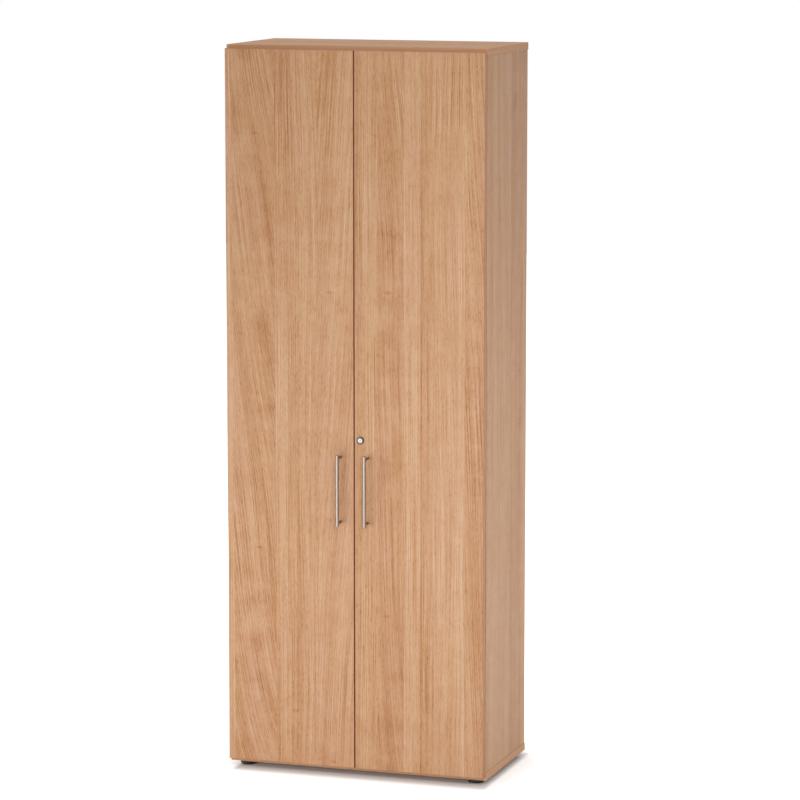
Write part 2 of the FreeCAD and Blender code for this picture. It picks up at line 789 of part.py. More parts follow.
# Guides hold the rod along the door; each is a saddle with two screwed feet
GUIDE_LEVELS = (
    "door_low + guide_end_inset",
    "handle_height - handle_spacing / 2 - guide_handle_distance",
    "lock_height + guide_lock_offset",
    "door_high - guide_end_inset",
)
GUIDE_SCREW_DEPTH = "guide_foot_thickness + wood_screw_in_board"
guides = []
guide_screws = []
guide_bores = []
for level in GUIDE_LEVELS:
    ends = (f"{level} - guide_half_height", f"{level} + guide_half_height")
    saddle = fuse(
        bar("z", ("rod_x", "rod_y", level), ends, "guide_radius"),
        block(("rod_x - guide_radius", "door_back", ends[0]), ("rod_x + guide_radius", "rod_y", ends[1])),
        block(("rod_x - guide_radius - guide_foot_reach", "door_back", ends[0]),
              ("rod_x + guide_radius + guide_foot_reach", "guide_foot", ends[1])),
    )
    seats = [(f"rod_x {sign} guide_screw_offset", "guide_foot", level) for sign in "-+"]
    bores = [screw_bore("y", seat, -1, "wood_screw", GUIDE_SCREW_DEPTH) for seat in seats]
    guides.append(cut(saddle, rod_room, *bores))
    guide_bores.extend(bores)
    guide_screws.extend(screw("y", seat, -1, "wood_screw", GUIDE_SCREW_DEPTH) for seat in seats)
node("rod_guides", gather(*guides))
node("rod_guide_screws", gather(*guide_screws))

# The rod turns behind the right door, with a hooked claw at each end that reaches round a strike
rod_ends = ("inside_bottom + rod_end_room", "inside_top - rod_end_room")
node("locking_rod", bar("z", rod_spot, rod_ends, "rod_radius"))


def claw(low, high):
    """A curved finger about the rod, and the arm that joins it to its hub."""
    sweep = tie(bar("z", rod_spot, (low, high), "claw_outer_radius"), Angle="claw_sweep")
    sweep.setExpression("Placement.Rotation.Angle", formula("claw_start * 1deg"))
    finger = cut(sweep, bar("z", rod_spot, (low, high), "claw_inner_radius"))
    arm = block(("0", "0", low), ("claw_middle", "claw_arm_width", high))
    arm.setExpression("Placement.Rotation.Angle", formula("claw_start * 1deg"))
    move_to(arm, (
        "rod_x + claw_arm_width / 2 * sin(claw_start * 1deg)",
        "rod_y - claw_arm_width / 2 * cos(claw_start * 1deg)",
        low,
    ))
    return fuse(finger, arm)


hooks = []
strike_plates = []
strike_pins = []
strike_screws = []
strike_bores = {"inside_bottom": [], "inside_top": []}
STRIKE_SCREW_DEPTH = "strike_plate_thickness + wood_screw_in_board"
for level, sense in END_FACES:
    hook_low, hook_high = span(level, -sense, "-hook_room", "hook_room + hook_height")
    hub = bar("z", rod_spot, span(level, -sense, "-hook_room", "hook_room + hub_height"), "hub_radius")
    hooks.append(cut(fuse(hub, claw(hook_low, hook_high)), bar("z", rod_spot, rod_ends, "rod_radius")))
    pin_spot = ("strike_x", "strike_y", level)
    pin = bar("z", pin_spot, span(level, -sense, "0", "strike_length"), "strike_radius")
    plate_low, plate_high = span(level, -sense, "0", "strike_plate_thickness")
    plate = block(
        ("strike_x - strike_plate_reach", "strike_y - strike_plate_half_depth", plate_low),
        ("strike_x + strike_plate_reach", "strike_y + strike_plate_half_depth", plate_high),
    )
    plate_face = plate_low if sense > 0 else plate_high
    for sign in "-+":
        seat = (f"strike_x {sign} strike_screw_offset", "strike_y", plate_face)
        strike_bores[level].append(screw_bore("z", seat, sense, "wood_screw", STRIKE_SCREW_DEPTH))
        strike_screws.append(screw("z", seat, sense, "wood_screw", STRIKE_SCREW_DEPTH))
    strike_plates.append(cut(plate, pin, *strike_bores[level]))
    strike_pins.append(pin)
node("rod_hooks", gather(*hooks))
node("strike_plates", gather(*strike_plates))
node("strike_pins", gather(*strike_pins))
node("strike_screws", gather(*strike_screws))

# Doors: boards with rounded edges; only the right one is bored for the lock
door_board = block(("door_inner", "door_front", "door_low"), ("door_outer", "door_back", "door_high"))
door_board = rounded(
    door_board,
    "door_edge_radius",
    lambda edge: lies_at(edge, "Y", "door_front") or lies_at(edge, "Y", "door_back"),
)
door_blank = cut(door_board, *door_bores)
node("right_door", cut(door_blank, barrel_room, *case_bores, *guide_bores))
node("left_door", mirrored(door_blank))

# Feet: a round pad on a spindle that screws into a socket in the bottom panel, with a cap above it
sockets = []
caps = []
foot_bores = []
for side, x in (("left", "-foot_x"), ("right", "foot_x")):
    for row, y in (("front", "front_foot"), ("rear", "rear_foot")):
        spot = (x, y, "foot_height")
        pad = bar("z", spot, ("0", "foot_top"), "foot_radius")
        pad = rounded(pad, "foot_lower_rounding", lambda edge: lies_at(edge, "Z", "0"))
        pad = rounded(pad, "foot_upper_rounding", lambda edge: lies_at(edge, "Z", "foot_top"))
        shaft = bar("z", spot, ("foot_top - spindle_in_foot", "spindle_top"), "spindle_radius")
        node(f"{row}_{side}_foot_pad", cut(pad, shaft))
        node(f"{row}_{side}_foot_spindle", shaft)
        sleeve = fuse(
            bar("z", spot, ("foot_top", "foot_height"), "socket_flange_radius"),
            bar("z", spot, ("foot_height", "socket_top"), "socket_radius"),
        )
        thread = bar("z", spot, ("foot_top", "socket_top"), "spindle_radius + spindle_fit")
        sockets.append(cut(sleeve, thread))
        caps.append(fuse(
            bar("z", spot, ("socket_top", "inside_bottom"), "socket_radius"),
            bar("z", spot, ("inside_bottom", "inside_bottom + cap_height"), "cap_radius"),
        ))
        foot_bores.append(bar("z", spot, ("foot_height", "inside_bottom"), "socket_radius + bore_fit"))
node("foot_sockets", gather(*sockets))
node("foot_caps", gather(*caps))


def panel(low, high, groove_low, groove_high, bores):
    """A top or bottom board with rounded edges on three sides and a stopped groove for the back."""
    board = block(("-half_width", "carcass_front", low), ("half_width", "carcass_back", high))
    board = rounded(board, "panel_edge_radius", lambda edge: not lies_at(edge, "Y", "carcass_back"))
    groove = block(
        ("-side_inner - groove_depth", "back_front - groove_clearance", groove_low),
        ("side_inner + groove_depth", "back_rear + groove_clearance", groove_high),
    )
    return cut(board, groove, *bores)


def both_sides(solids):
    right_hand = gather(*solids)
    return [right_hand, mirrored(right_hand)]


bottom_bores = both_sides(panel_bores["inside_bottom"]) + strike_bores["inside_bottom"] + foot_bores
node("bottom_panel", panel(
    "foot_height", "inside_bottom", "inside_bottom - groove_depth", "inside_bottom", bottom_bores))
top_bores = both_sides(panel_bores["inside_top"]) + strike_bores["inside_top"]
node("top_panel", panel(
    "inside_top", "cabinet_height", "inside_top", "inside_top + groove_depth", top_bores))

# The back stands in the grooves of the four boards round it
node("back_panel", block(
    ("-side_inner - back_reach", "back_front", "inside_bottom - back_reach"),
    ("side_inner + back_reach", "back_rear", "inside_top + back_reach"),
))

# Five shelves share out the height; the middle one ties the sides together and the others lie on pins
for index, name in enumerate(SHELVES):
    low = f"first_shelf + {index} * shelf_pitch"
    end = "side_inner" if index == FIXED_SHELF else "shelf_end"
    shelf = block((f"-{end}", "shelf_front", low), (end, "shelf_rear", f"{low} + shelf_thickness"))
    shelf = rounded(shelf, "shelf_edge_radius", lambda edge: lies_at(edge, "Y", "shelf_front"))
    if index == FIXED_SHELF:
        shelf = cut(shelf, *both_sides(shelf_bores))
    node(name, shelf)

doc.recompute()
for item in doc.Objects:
    if "Invalid" in item.State or "Error" in item.State:
        raise RuntimeError(f"{item.Label} did not build")
for item in nodes:
    if item.Shape.isNull() or not item.Shape.isValid():
        raise RuntimeError(f"{item.Label} has no sound shape")

os.makedirs("parts", exist_ok=True)
for item in nodes:
    item.Shape.exportStep(f"parts/{item.Label}.step")
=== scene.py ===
import json
import math
from collections import namedtuple

import bmesh
import bpy
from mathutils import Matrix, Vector


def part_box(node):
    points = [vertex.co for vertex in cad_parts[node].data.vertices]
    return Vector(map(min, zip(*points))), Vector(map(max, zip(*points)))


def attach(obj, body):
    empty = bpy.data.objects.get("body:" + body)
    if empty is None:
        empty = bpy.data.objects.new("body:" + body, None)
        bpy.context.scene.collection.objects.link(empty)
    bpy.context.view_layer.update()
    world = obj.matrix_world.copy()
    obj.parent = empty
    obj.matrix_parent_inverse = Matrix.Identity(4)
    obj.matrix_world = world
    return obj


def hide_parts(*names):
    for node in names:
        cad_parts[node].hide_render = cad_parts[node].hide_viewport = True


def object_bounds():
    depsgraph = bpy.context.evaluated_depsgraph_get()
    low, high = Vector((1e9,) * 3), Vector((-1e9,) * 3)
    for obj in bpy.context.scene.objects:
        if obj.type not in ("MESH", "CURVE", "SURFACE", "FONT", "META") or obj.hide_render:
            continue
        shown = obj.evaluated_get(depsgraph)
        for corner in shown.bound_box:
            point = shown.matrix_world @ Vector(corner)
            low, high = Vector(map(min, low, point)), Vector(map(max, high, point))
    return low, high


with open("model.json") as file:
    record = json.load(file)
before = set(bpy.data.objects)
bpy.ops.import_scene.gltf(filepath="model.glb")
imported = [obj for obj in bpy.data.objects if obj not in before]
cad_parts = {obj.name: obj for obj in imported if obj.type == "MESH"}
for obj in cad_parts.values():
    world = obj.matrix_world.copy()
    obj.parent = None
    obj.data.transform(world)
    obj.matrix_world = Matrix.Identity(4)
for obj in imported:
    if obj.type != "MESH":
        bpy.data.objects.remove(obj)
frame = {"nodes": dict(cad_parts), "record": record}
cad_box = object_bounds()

# Side panels: upright chipboard boards faced with a printed wood decor, the grain running up and down.
# Their edges are closed with a plastic band, and cams pull them tight between the bottom and the top.
MM = 0.001
SIDE_BOARD = {"face": "X", "grain": "Z", "across": "Y"}
SIDE_CONTRAST = 0.8
SIDE_GLOSS = 0.18

# A leaf of the decor has its width in millimetres, its tone, its slant and how much its grain sways
SIDE_LEAVES = (
    (60, 0.52, 0.00, 0.2),
    (175, 0.57, 0.01, 0.3),
    (120, 0.45, -0.01, 0.5),
    (43, 0.54, 0.00, 0.2),
)

# A tone has its place from dark to light, and its colour as a screen shows it
DECOR_TONES = (
    (0.00, (142, 88, 50)),
    (0.30, (180, 130, 87)),
    (0.50, (195, 150, 112)),
    (0.70, (205, 165, 131)),
    (1.00, (217, 185, 157)),
)
YELLOW_CAST = (255, 254, 250)
PINK_CAST = (255, 251, 253)
# The bands' tones are raised lighter, partly as painted light for the top panel's front band, which lies
# in the doors' shade
BAND_TONES_WITH_PAINTED_LIGHT = ((0.25, (191, 142, 108)), (0.75, (217, 172, 135)))

# A figure of the decor has its own draw, how many of it fit in a metre across and along the grain,
# how finely it breaks up, and its weight
Figure = namedtuple("Figure", "draw per_across per_along detail weight", defaults=(0.0, 1.0))
WANDER = Figure(0.0, 40.0, 1.1, weight=0.03)
FAN = Figure(5.3, 40.0, 0.9, weight=3.0)
RIPPLE = Figure(3.1, 13.0, 6.0, weight=0.003)
BROAD_STREAKS = Figure(7.7, 28.0, 0.8, weight=0.30)
RINGS = Figure(11.3, 150.0, 0.9, detail=1.0, weight=0.16)
CLOUDS = Figure(49.3, 26.0, 20.0, detail=2.0, weight=0.22)
LINES = Figure(14.1, 330.0, 2.2, detail=1.0, weight=0.95)
LINED_PARTS = Figure(27.2, 12.0, 2.5)
FIBRES = Figure(17.9, 900.0, 14.0, detail=1.0, weight=0.45)
CROSS_MARKS = Figure(31.7, 9.0, 14.0, detail=2.0, weight=0.60)
MARKED_PARTS = Figure(37.1, 6.0, 2.2)
SEAMS = Figure(45.1, 95.0, 0.5, weight=-0.045)
SCARS = Figure(53.0, 9.0, 22.0, weight=-0.20)
PORES = Figure(23.5, 480.0, 80.0, weight=-0.14)
CAST = Figure(41.9, 14.0, 1.8, detail=1.0)
BAND_STREAKS = Figure(47.0, 420.0, 1.6, detail=1.0)

# An edge says where a figure begins to show, and where it shows in full
PART_EDGE = (-0.15, 0.15)
SEAM_EDGE = (0.15, 0.27)
SCAR_EDGE = (0.15, 0.03)
SCAR_CHANCE = (0.76, 0.92)
PORE_EDGE = (0.06, 0.20)
CAST_EDGE = (-0.2, 0.2)
FACE_EDGE = (0.80, 0.97)

# Lines show by the first share outside the lined parts, and by the second inside them
LINED_SHARES = (0.6, 1.2)

# Cross marks show by the sway of their leaf, and by no less than this
LEAST_MARKED = 0.3
NOISE_MIDDLE = 0.5
NO_SLANT = 0.5
BOARD_GLOSS = 0.27
BOARD_ROUGHNESS = 0.47
ROUGHNESS_SWING = 0.16
PORE_DEPTH = 0.3
RELIEF_STRENGTH = 0.15
RELIEF_HEIGHT = 0.2 * MM

# The curve from a screen's levels to light is straight up to its knee, and a power beyond it
FULL_LEVEL = 255
KNEE = 0.04045
SLOPE_BELOW_KNEE = 12.92
CURVE_OFFSET = 0.055
CURVE_POWER = 2.4


def paint(colour):
    """A colour as it shows on a screen, 0 to 255, in the renderer's own light values."""
    channels = []
    for level in colour:
        share = level / FULL_LEVEL
        if share <= KNEE:
            channels.append(share / SLOPE_BELOW_KNEE)
        else:
            channels.append(((share + CURVE_OFFSET) / (1.0 + CURVE_OFFSET)) ** CURVE_POWER)
    return (*channels, 1.0)


def painted(stops):
    """The stops of a colour ramp, with their screen colours in light values."""
    return [(place, paint(colour)) for place, colour in stops]


def feed(tree, node, inputs):
    """Links each input that is given as a socket, and sets the others to their value."""
    for key, given in inputs.items():
        if isinstance(given, bpy.types.NodeSocket):
            tree.links.new(given, node.inputs[key])
        else:
            node.inputs[key].default_value = given


def put(tree, kind, inputs=None, **settings):
    """A new node with its settings and inputs."""
    node = tree.nodes.new(kind)
    for key, setting in settings.items():
        setattr(node, key, setting)
    feed(tree, node, inputs or {})
    return node


def reckon(tree, operation, *terms):
    """The result of a Math node on sockets and numbers."""
    return put(tree, "ShaderNodeMath", dict(enumerate(terms)), operation=operation).outputs[0]


def total(tree, *terms):
    """The sum of several sockets or numbers."""
    result = terms[0]
    for term in terms[1:]:
        result = reckon(tree, "ADD", result, term)
    return result


def ease(tree, value, low, high, start=0.0, end=1.0):
    """A smooth step from start to end as a value goes from low to high."""
    return put(tree, "ShaderNodeMapRange", {
        "Value": value, "From Min": low, "From Max": high, "To Min": start, "To Max": end,
    }, interpolation_type="SMOOTHSTEP").outputs[0]


def ramp(tree, factor, stops, interpolation="LINEAR"):
    """A colour ramp through stops of a place and a colour in light values."""
    node = put(tree, "ShaderNodeValToRGB", {"Fac": factor})
    node.color_ramp.interpolation = interpolation
    elements = node.color_ramp.elements
    while len(elements) < len(stops):
        elements.new(1.0)
    for element, (place, colour) in zip(elements, stops):
        element.position = place
        element.color = colour
    return node.outputs["Color"]


def blend_colours(tree, factor, first, second, blend_type="MIX"):
    """Two colours mixed; the colour sockets of a Mix node come after those for numbers and vectors."""
    return put(tree, "ShaderNodeMix", {0: factor, 6: first, 7: second},
               data_type="RGBA", blend_type=blend_type).outputs[2]


def new_finish(name):
    """A new material, its tree and the one main shader on its output."""
    material = bpy.data.materials.new(name)
    material.use_nodes = True
    tree = material.node_tree
    return material, tree, tree.nodes["Principled BSDF"]


def on_board(tree, across, along, seed, figure):
    """A place on the decor, stretched so that a figure comes as often as it should."""
    return put(tree, "ShaderNodeCombineXYZ", {
        "X": reckon(tree, "MULTIPLY", across, figure.per_across),
        "Y": reckon(tree, "MULTIPLY", along, figure.per_along),
        "Z": seed + figure.draw,
    }).outputs[0]


def streaks(tree, across, along, seed, figure):
    """Noise drawn out along the grain, as a swing about nought."""
    place = on_board(tree, across, along, seed, figure)
    noise = put(tree, "ShaderNodeTexNoise", {"Vector": place, "Scale": 1.0, "Detail": figure.detail})
    return reckon(tree, "SUBTRACT", noise.outputs[0], NOISE_MIDDLE)


def weighed(tree, figure, swing, share=None):
    """A figure's swing times its weight, where it shows by a share if one is given."""
    shown = swing if share is None else reckon(tree, "MULTIPLY", swing, share)
    return reckon(tree, "MULTIPLY", shown, figure.weight)


def leaf_under(tree, across, width, leaves):
    """The leaf at a place across a board: its tone, its slant, its sway and where it starts."""
    traits = []
    starts = []
    begun = 0.0
    for leaf_width, tone, slant, sway in leaves:
        share = begun * MM / width
        traits.append((share, (tone, NO_SLANT + slant, sway, 1.0)))
        starts.append((share, (share, share, share, 1.0)))
        begun += leaf_width
    share_across = reckon(tree, "DIVIDE", across, width)
    coded = ramp(tree, share_across, traits, "CONSTANT")
    channels = put(tree, "ShaderNodeSeparateColor", {"Color": coded}).outputs
    return {
        "tone": channels["Red"],
        "slant": reckon(tree, "SUBTRACT", channels["Green"], NO_SLANT),
        "sway": channels["Blue"],
        "start": reckon(tree, "MULTIPLY", ramp(tree, share_across, starts, "CONSTANT"), width),
    }


def grain_course(tree, across, along, seed, leaf):
    """A place across the grain, which leans with its leaf, wanders along it and fans out inside it."""
    lean = reckon(tree, "MULTIPLY", leaf["slant"], along)
    wander = weighed(tree, WANDER, streaks(tree, leaf["start"], along, seed, WANDER))
    fan = weighed(tree, FAN, streaks(tree, leaf["start"], along, seed, FAN))
    inside = reckon(tree, "SUBTRACT", across, leaf["start"])
    drift = reckon(tree, "ADD", wander, reckon(tree, "MULTIPLY", fan, inside))
    sway = reckon(tree, "MULTIPLY", drift, leaf["sway"])
    ripple = weighed(tree, RIPPLE, streaks(tree, across, along, seed, RIPPLE))
    return total(tree, across, lean, sway, ripple)


def scars_here(tree, across, along, seed):
    """Small knots and scars, in the middle of some cells of a cell pattern."""
    cells = put(tree, "ShaderNodeTexVoronoi", {
        "Vector": on_board(tree, across, along, seed, SCARS), "Scale": 1.0,
    }).outputs
    chance = put(tree, "ShaderNodeSeparateColor", {"Color": cells["Color"]}).outputs["Red"]
    middle = ease(tree, cells["Distance"], *SCAR_EDGE)
    return reckon(tree, "MULTIPLY", middle, ease(tree, chance, *SCAR_CHANCE))


def grain_swing(tree, across, course, along, seed, sway, fibres, pores):
    """How far the tone swings from that of its leaf, from broad streaks down to fibres and pores."""
    lined = ease(tree, streaks(tree, course, along, seed, LINED_PARTS), *PART_EDGE, *LINED_SHARES)
    lines = streaks(tree, course, along, seed, LINES)
    in_part = ease(tree, streaks(tree, across, along, seed, MARKED_PARTS), *PART_EDGE)
    marked = reckon(tree, "MULTIPLY", reckon(tree, "MAXIMUM", sway, LEAST_MARKED), in_part)
    marks = streaks(tree, across, along, seed, CROSS_MARKS)
    seams = ease(tree, streaks(tree, course, along, seed, SEAMS), *SEAM_EDGE)
    return total(
        tree,
        weighed(tree, BROAD_STREAKS, streaks(tree, course, along, seed, BROAD_STREAKS)),
        weighed(tree, RINGS, streaks(tree, course, along, seed, RINGS)),
        weighed(tree, CLOUDS, streaks(tree, course, along, seed, CLOUDS)),
        weighed(tree, LINES, lines, lined),
        weighed(tree, FIBRES, fibres),
        weighed(tree, CROSS_MARKS, marks, marked),
        weighed(tree, SEAMS, seams),
        weighed(tree, SCARS, scars_here(tree, across, along, seed)),
        weighed(tree, PORES, pores),
    )


def band_colour(tree, board, place, seed, tones):
    """The colour of the band on a board's edges, streaked along its own length."""
    run = reckon(tree, "ADD", place[board["grain"]], place[board["across"]])
    band = streaks(tree, place[board["face"]], run, seed, BAND_STREAKS)
    return ramp(tree, reckon(tree, "ADD", band, NOISE_MIDDLE), painted(tones))


def dress(node, material):
    """A finished material on a part that keeps its own shape."""
    slots = frame["nodes"][node].data.materials
    slots.clear()
    slots.append(material)


def face_board(node, board, leaves, seed, contrast=1.0, gloss=BOARD_GLOSS,
               roughness=BOARD_ROUGHNESS, band_tones=BAND_TONES_WITH_PAINTED_LIGHT):
    """Faces a board with decor, in leaves side by side across the grain, and puts bands on its edges."""
    material, tree, shader = new_finish(f"{node}_decor")
    coordinates = put(tree, "ShaderNodeTexCoord").outputs
    place = put(tree, "ShaderNodeSeparateXYZ", {"Vector": coordinates["Object"]}).outputs
    low, high = (corner["XYZ".index(board["across"])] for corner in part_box(node))
    across = reckon(tree, "SUBTRACT", place[board["across"]], low)
    along = place[board["grain"]]
    leaf = leaf_under(tree, across, high - low, leaves)
    course = grain_course(tree, across, along, seed, leaf)
    fibres = streaks(tree, course, along, seed, FIBRES)
    pores = ease(tree, streaks(tree, course, along, seed, PORES), *PORE_EDGE)

    # The print has the tone of its leaf and grain, with a faint cast that changes slowly
    swing = grain_swing(tree, across, course, along, seed, leaf["sway"], fibres, pores)
    tone = reckon(tree, "ADD", leaf["tone"], reckon(tree, "MULTIPLY", swing, contrast))
    cast = ease(tree, streaks(tree, across, along, seed, CAST), *CAST_EDGE)
    tint = blend_colours(tree, cast, paint(YELLOW_CAST), paint(PINK_CAST))
    printed = blend_colours(tree, 1.0, ramp(tree, tone, painted(DECOR_TONES)), tint, "MULTIPLY")

    # It shows on the two faces, and the band shows on the edges
    normal = put(tree, "ShaderNodeSeparateXYZ", {"Vector": coordinates["Normal"]}).outputs
    facing = ease(tree, reckon(tree, "ABSOLUTE", normal[board["face"]]), *FACE_EDGE)
    band = band_colour(tree, board, place, seed, band_tones)
    relief = reckon(tree, "SUBTRACT", fibres, reckon(tree, "MULTIPLY", pores, PORE_DEPTH))
    bump = put(tree, "ShaderNodeBump", {
        "Height": relief, "Strength": RELIEF_STRENGTH, "Distance": RELIEF_HEIGHT,
    }).outputs[0]
    feed(tree, shader, {
        "Base Color": blend_colours(tree, facing, band, printed),
        "Roughness": reckon(tree, "ADD", reckon(tree, "MULTIPLY", fibres, ROUGHNESS_SWING), roughness),
        "Normal": bump,
        "Specular IOR Level": gloss,
    })
    dress(node, material)


for node, seed in (("left_side_panel", 2.0), ("right_side_panel", 5.0)):
    face_board(node, SIDE_BOARD, SIDE_LEAVES, seed, contrast=SIDE_CONTRAST, gloss=SIDE_GLOSS)

# Bottom and top panels: thicker boards of the same decor, laid with the grain from side to side.
# They reach a little past the sides, with softly rounded plastic bands on their edges.
LYING_BOARD = {"face": "Z", "grain": "X", "across": "Y"}
PANEL_LEAVES = (
    (70, 0.50, 0.00, 0.2),
    (95, 0.54, 0.00, 0.4),
    (60, 0.47, 0.01, 0.2),
    (110, 0.53, 0.00, 0.5),
    (63, 0.48, -0.01, 0.2),
)
PANEL_CONTRAST = 0.7
PANEL_GLOSS = 0.11
PANEL_ROUGHNESS = 0.56
for node, seed in (("bottom_panel", 61.0), ("top_panel", 67.0)):
    face_board(node, LYING_BOARD, PANEL_LEAVES, seed,
               contrast=PANEL_CONTRAST, gloss=PANEL_GLOSS, roughness=PANEL_ROUGHNESS)

# Back panel: a thin board of the decor that stands in a groove all round.
# It keeps the carcass square, and is finished on both faces.
UPRIGHT_BOARD = {"face": "Y", "grain": "Z", "across": "X"}
BACK_LEAVES = (
    (120, 0.50, 0.00, 0.3),
    (90, 0.46, 0.01, 0.8),
    (140, 0.54, 0.00, 0.2),
    (80, 0.49, -0.01, 0.4),
    (130, 0.52, 0.00, 0.2),
    (100, 0.46, 0.01, 0.7),
    (111, 0.51, 0.00, 0.2),
)
BACK_CONTRAST = 0.8
BACK_SEED = 71.0
face_board("back_panel", UPRIGHT_BOARD, BACK_LEAVES, BACK_SEED, contrast=BACK_CONTRAST)

# Shelves: boards of the decor with bands on their edges, the grain from side to side.
# The middle one is bolted to the sides, and the others lie loose on pins.
SHELVES = ("lowest_shelf", "lower_shelf", "fixed_middle_shelf", "upper_shelf", "highest_shelf")
SHELF_LEAVES = (
    (80, 0.52, 0.00, 0.2),
    (70, 0.47, 0.01, 0.6),
    (95, 0.55, 0.00, 0.2),
    (89, 0.50, -0.01, 0.4),
)
FIRST_SHELF_SEED = 80.0
SHELF_SEED_STEP = 5.0
for count, node in enumerate(SHELVES):
    face_board(node, LYING_BOARD, SHELF_LEAVES, FIRST_SHELF_SEED + SHELF_SEED_STEP * count)

# Dowels: short beech pins, pressed into the board ends to line the joints up.
# Bare wood with small darker flecks.
BEECH = ((0.30, (196, 160, 116)), (0.55, (214, 180, 138)), (0.75, (226, 196, 156)))
FLECKS_PER_METRE = 700.0
FLECK_DETAIL = 2.0
DOWEL_ROUGHNESS = (0.55, 0.70)
NOISE_RANGE = (0.3, 0.7)


def reckon_vector(tree, operation, *terms):
    """The result of a Vector Math node on sockets and vectors."""
    return put(tree, "ShaderNodeVectorMath", dict(enumerate(terms)), operation=operation).outputs[0]


def noise_on(tree, per_metre, detail=1.0):
    """Noise on a piece, from 0 to 1, with so many figures per metre, or per metre along X, Y and Z."""
    stretch = per_metre if isinstance(per_metre, tuple) else (per_metre, per_metre, per_metre)
    place = put(tree, "ShaderNodeTexCoord").outputs["Object"]
    scaled = reckon_vector(tree, "MULTIPLY", place, stretch)
    return put(tree, "ShaderNodeTexNoise", {"Vector": scaled, "Scale": 1.0, "Detail": detail}).outputs[0]


dowel_wood, tree, shader = new_finish("dowel_beech")
flecks = noise_on(tree, FLECKS_PER_METRE, FLECK_DETAIL)
feed(tree, shader, {
    "Base Color": ramp(tree, flecks, painted(BEECH)),
    "Roughness": ease(tree, flecks, *NOISE_RANGE, *DOWEL_ROUGHNESS),
})
dress("dowels", dowel_wood)

# Cam fittings: a cast zinc disc with a cross slot draws the head of a zinc plated bolt into the joint.
# The discs sit in bores, flush with the inside of the sides and the underside of the fixed shelf.
ZINC = (134, 134, 132)
CAM_FACE_HEIGHT = 1.2 * MM
CAM_BODY_SHARE = 0.96
METAL_CLOUDS_PER_METRE = 90.0
METAL_DETAIL = 2.0
LINE_SHARE = 0.65
SPECKLE_RANGE = (0.35, 0.65)
METAL_GLOSS_SWING = 0.2
METAL_RELIEF_STRENGTH = 0.08
METAL_RELIEF_HEIGHT = 0.05 * MM

# A cross-slotted head, in shares of its own sizes
SLOT_SPAN_PER_RADIUS = 1.25
SLOT_WIDTH_PER_RADIUS = 0.32
SLOT_DEPTH_PER_HEIGHT = 0.65
CHAMFER_PER_HEIGHT = 0.45
TOP_PER_RADIUS = 0.74
TIP_PER_LENGTH = 0.2
TIP_PER_SHANK = 0.3
HEAD_SIDES = 32
HEAD_TURN_SEED = 7

MERGE_DISTANCE = 0.001 * MM
CORNER_DIGITS = 5


def mottled(tree, noise, noise_range, colour, shares):
    """A screen colour between two shares of its light, as noise goes over its range."""
    red, green, blue, opaque = paint(colour)
    stops = []
    for place, share in zip(noise_range, shares):
        stops.append((place, (red * share, green * share, blue * share, opaque)))
    return ramp(tree, noise, stops)


def metal(name, colour, roughness, per_metre, contrast):
    """Bare or plated metal, with lines or specks of the given fineness in its tone and gloss."""
    material, tree, shader = new_finish(name)
    lines = noise_on(tree, per_metre, METAL_DETAIL)
    clouds = noise_on(tree, METAL_CLOUDS_PER_METRE)
    speckle = reckon(tree, "ADD", reckon(tree, "MULTIPLY", lines, LINE_SHARE),
                     reckon(tree, "MULTIPLY", clouds, 1.0 - LINE_SHARE))
    smooth = roughness * (1.0 - METAL_GLOSS_SWING)
    rough = roughness * (1.0 + METAL_GLOSS_SWING)
    bump = put(tree, "ShaderNodeBump", {
        "Height": lines, "Strength": METAL_RELIEF_STRENGTH, "Distance": METAL_RELIEF_HEIGHT,
    }).outputs[0]
    feed(tree, shader, {
        "Base Color": mottled(tree, speckle, SPECKLE_RANGE, colour, (1.0 - contrast, 1.0 + contrast)),
        "Roughness": ease(tree, speckle, *SPECKLE_RANGE, smooth, rough),
        "Normal": bump,
        "Metallic": 1.0,
    })
    return material


def new_growth(name, sizes):
    """A geometry tree that takes seats, named sizes and a finish, and gives what grows on the seats."""
    tree = bpy.data.node_groups.new(name, "GeometryNodeTree")
    tree.interface.new_socket("Seats", in_out="INPUT", socket_type="NodeSocketGeometry")
    for label in sizes:
        tree.interface.new_socket(label, in_out="INPUT", socket_type="NodeSocketFloat")
    tree.interface.new_socket("Finish", in_out="INPUT", socket_type="NodeSocketMaterial")
    tree.interface.new_socket("Grown", in_out="OUTPUT", socket_type="NodeSocketGeometry")
    return tree, put(tree, "NodeGroupInput").outputs


def fill_seats(tree, given, shape, turn=(0.0, 0.0, 0.0)):
    """Ends a tree with a shape, made in millimetres, on every seat, as real mesh in its finish."""
    placed = put(tree, "GeometryNodeInstanceOnPoints", {
        "Points": given["Seats"], "Instance": shape, "Rotation": turn, "Scale": (MM, MM, MM),
    }).outputs[0]
    whole = put(tree, "GeometryNodeRealizeInstances", {"Geometry": placed}).outputs[0]
    finished = put(tree, "GeometryNodeSetMaterial", {
        "Geometry": whole, "Material": given["Finish"],
    }).outputs[0]
    put(tree, "NodeGroupOutput", {"Grown": finished})


def grow(tree, shape, end, length, scale=None):
    """The end face of a shape drawn out by a length, and then scaled if a scale is given."""
    drawn = put(tree, "GeometryNodeExtrudeMesh", {
        "Mesh": shape, "Selection": end, "Offset Scale": length, "Individual": False,
    }, mode="FACES").outputs
    if scale is None:
        return drawn["Mesh"], drawn["Top"]
    scaled = put(tree, "GeometryNodeScaleElements", {
        "Geometry": drawn["Mesh"], "Selection": drawn["Top"], "Scale": scale,
    }, domain="FACE")
    return scaled.outputs[0], drawn["Top"]


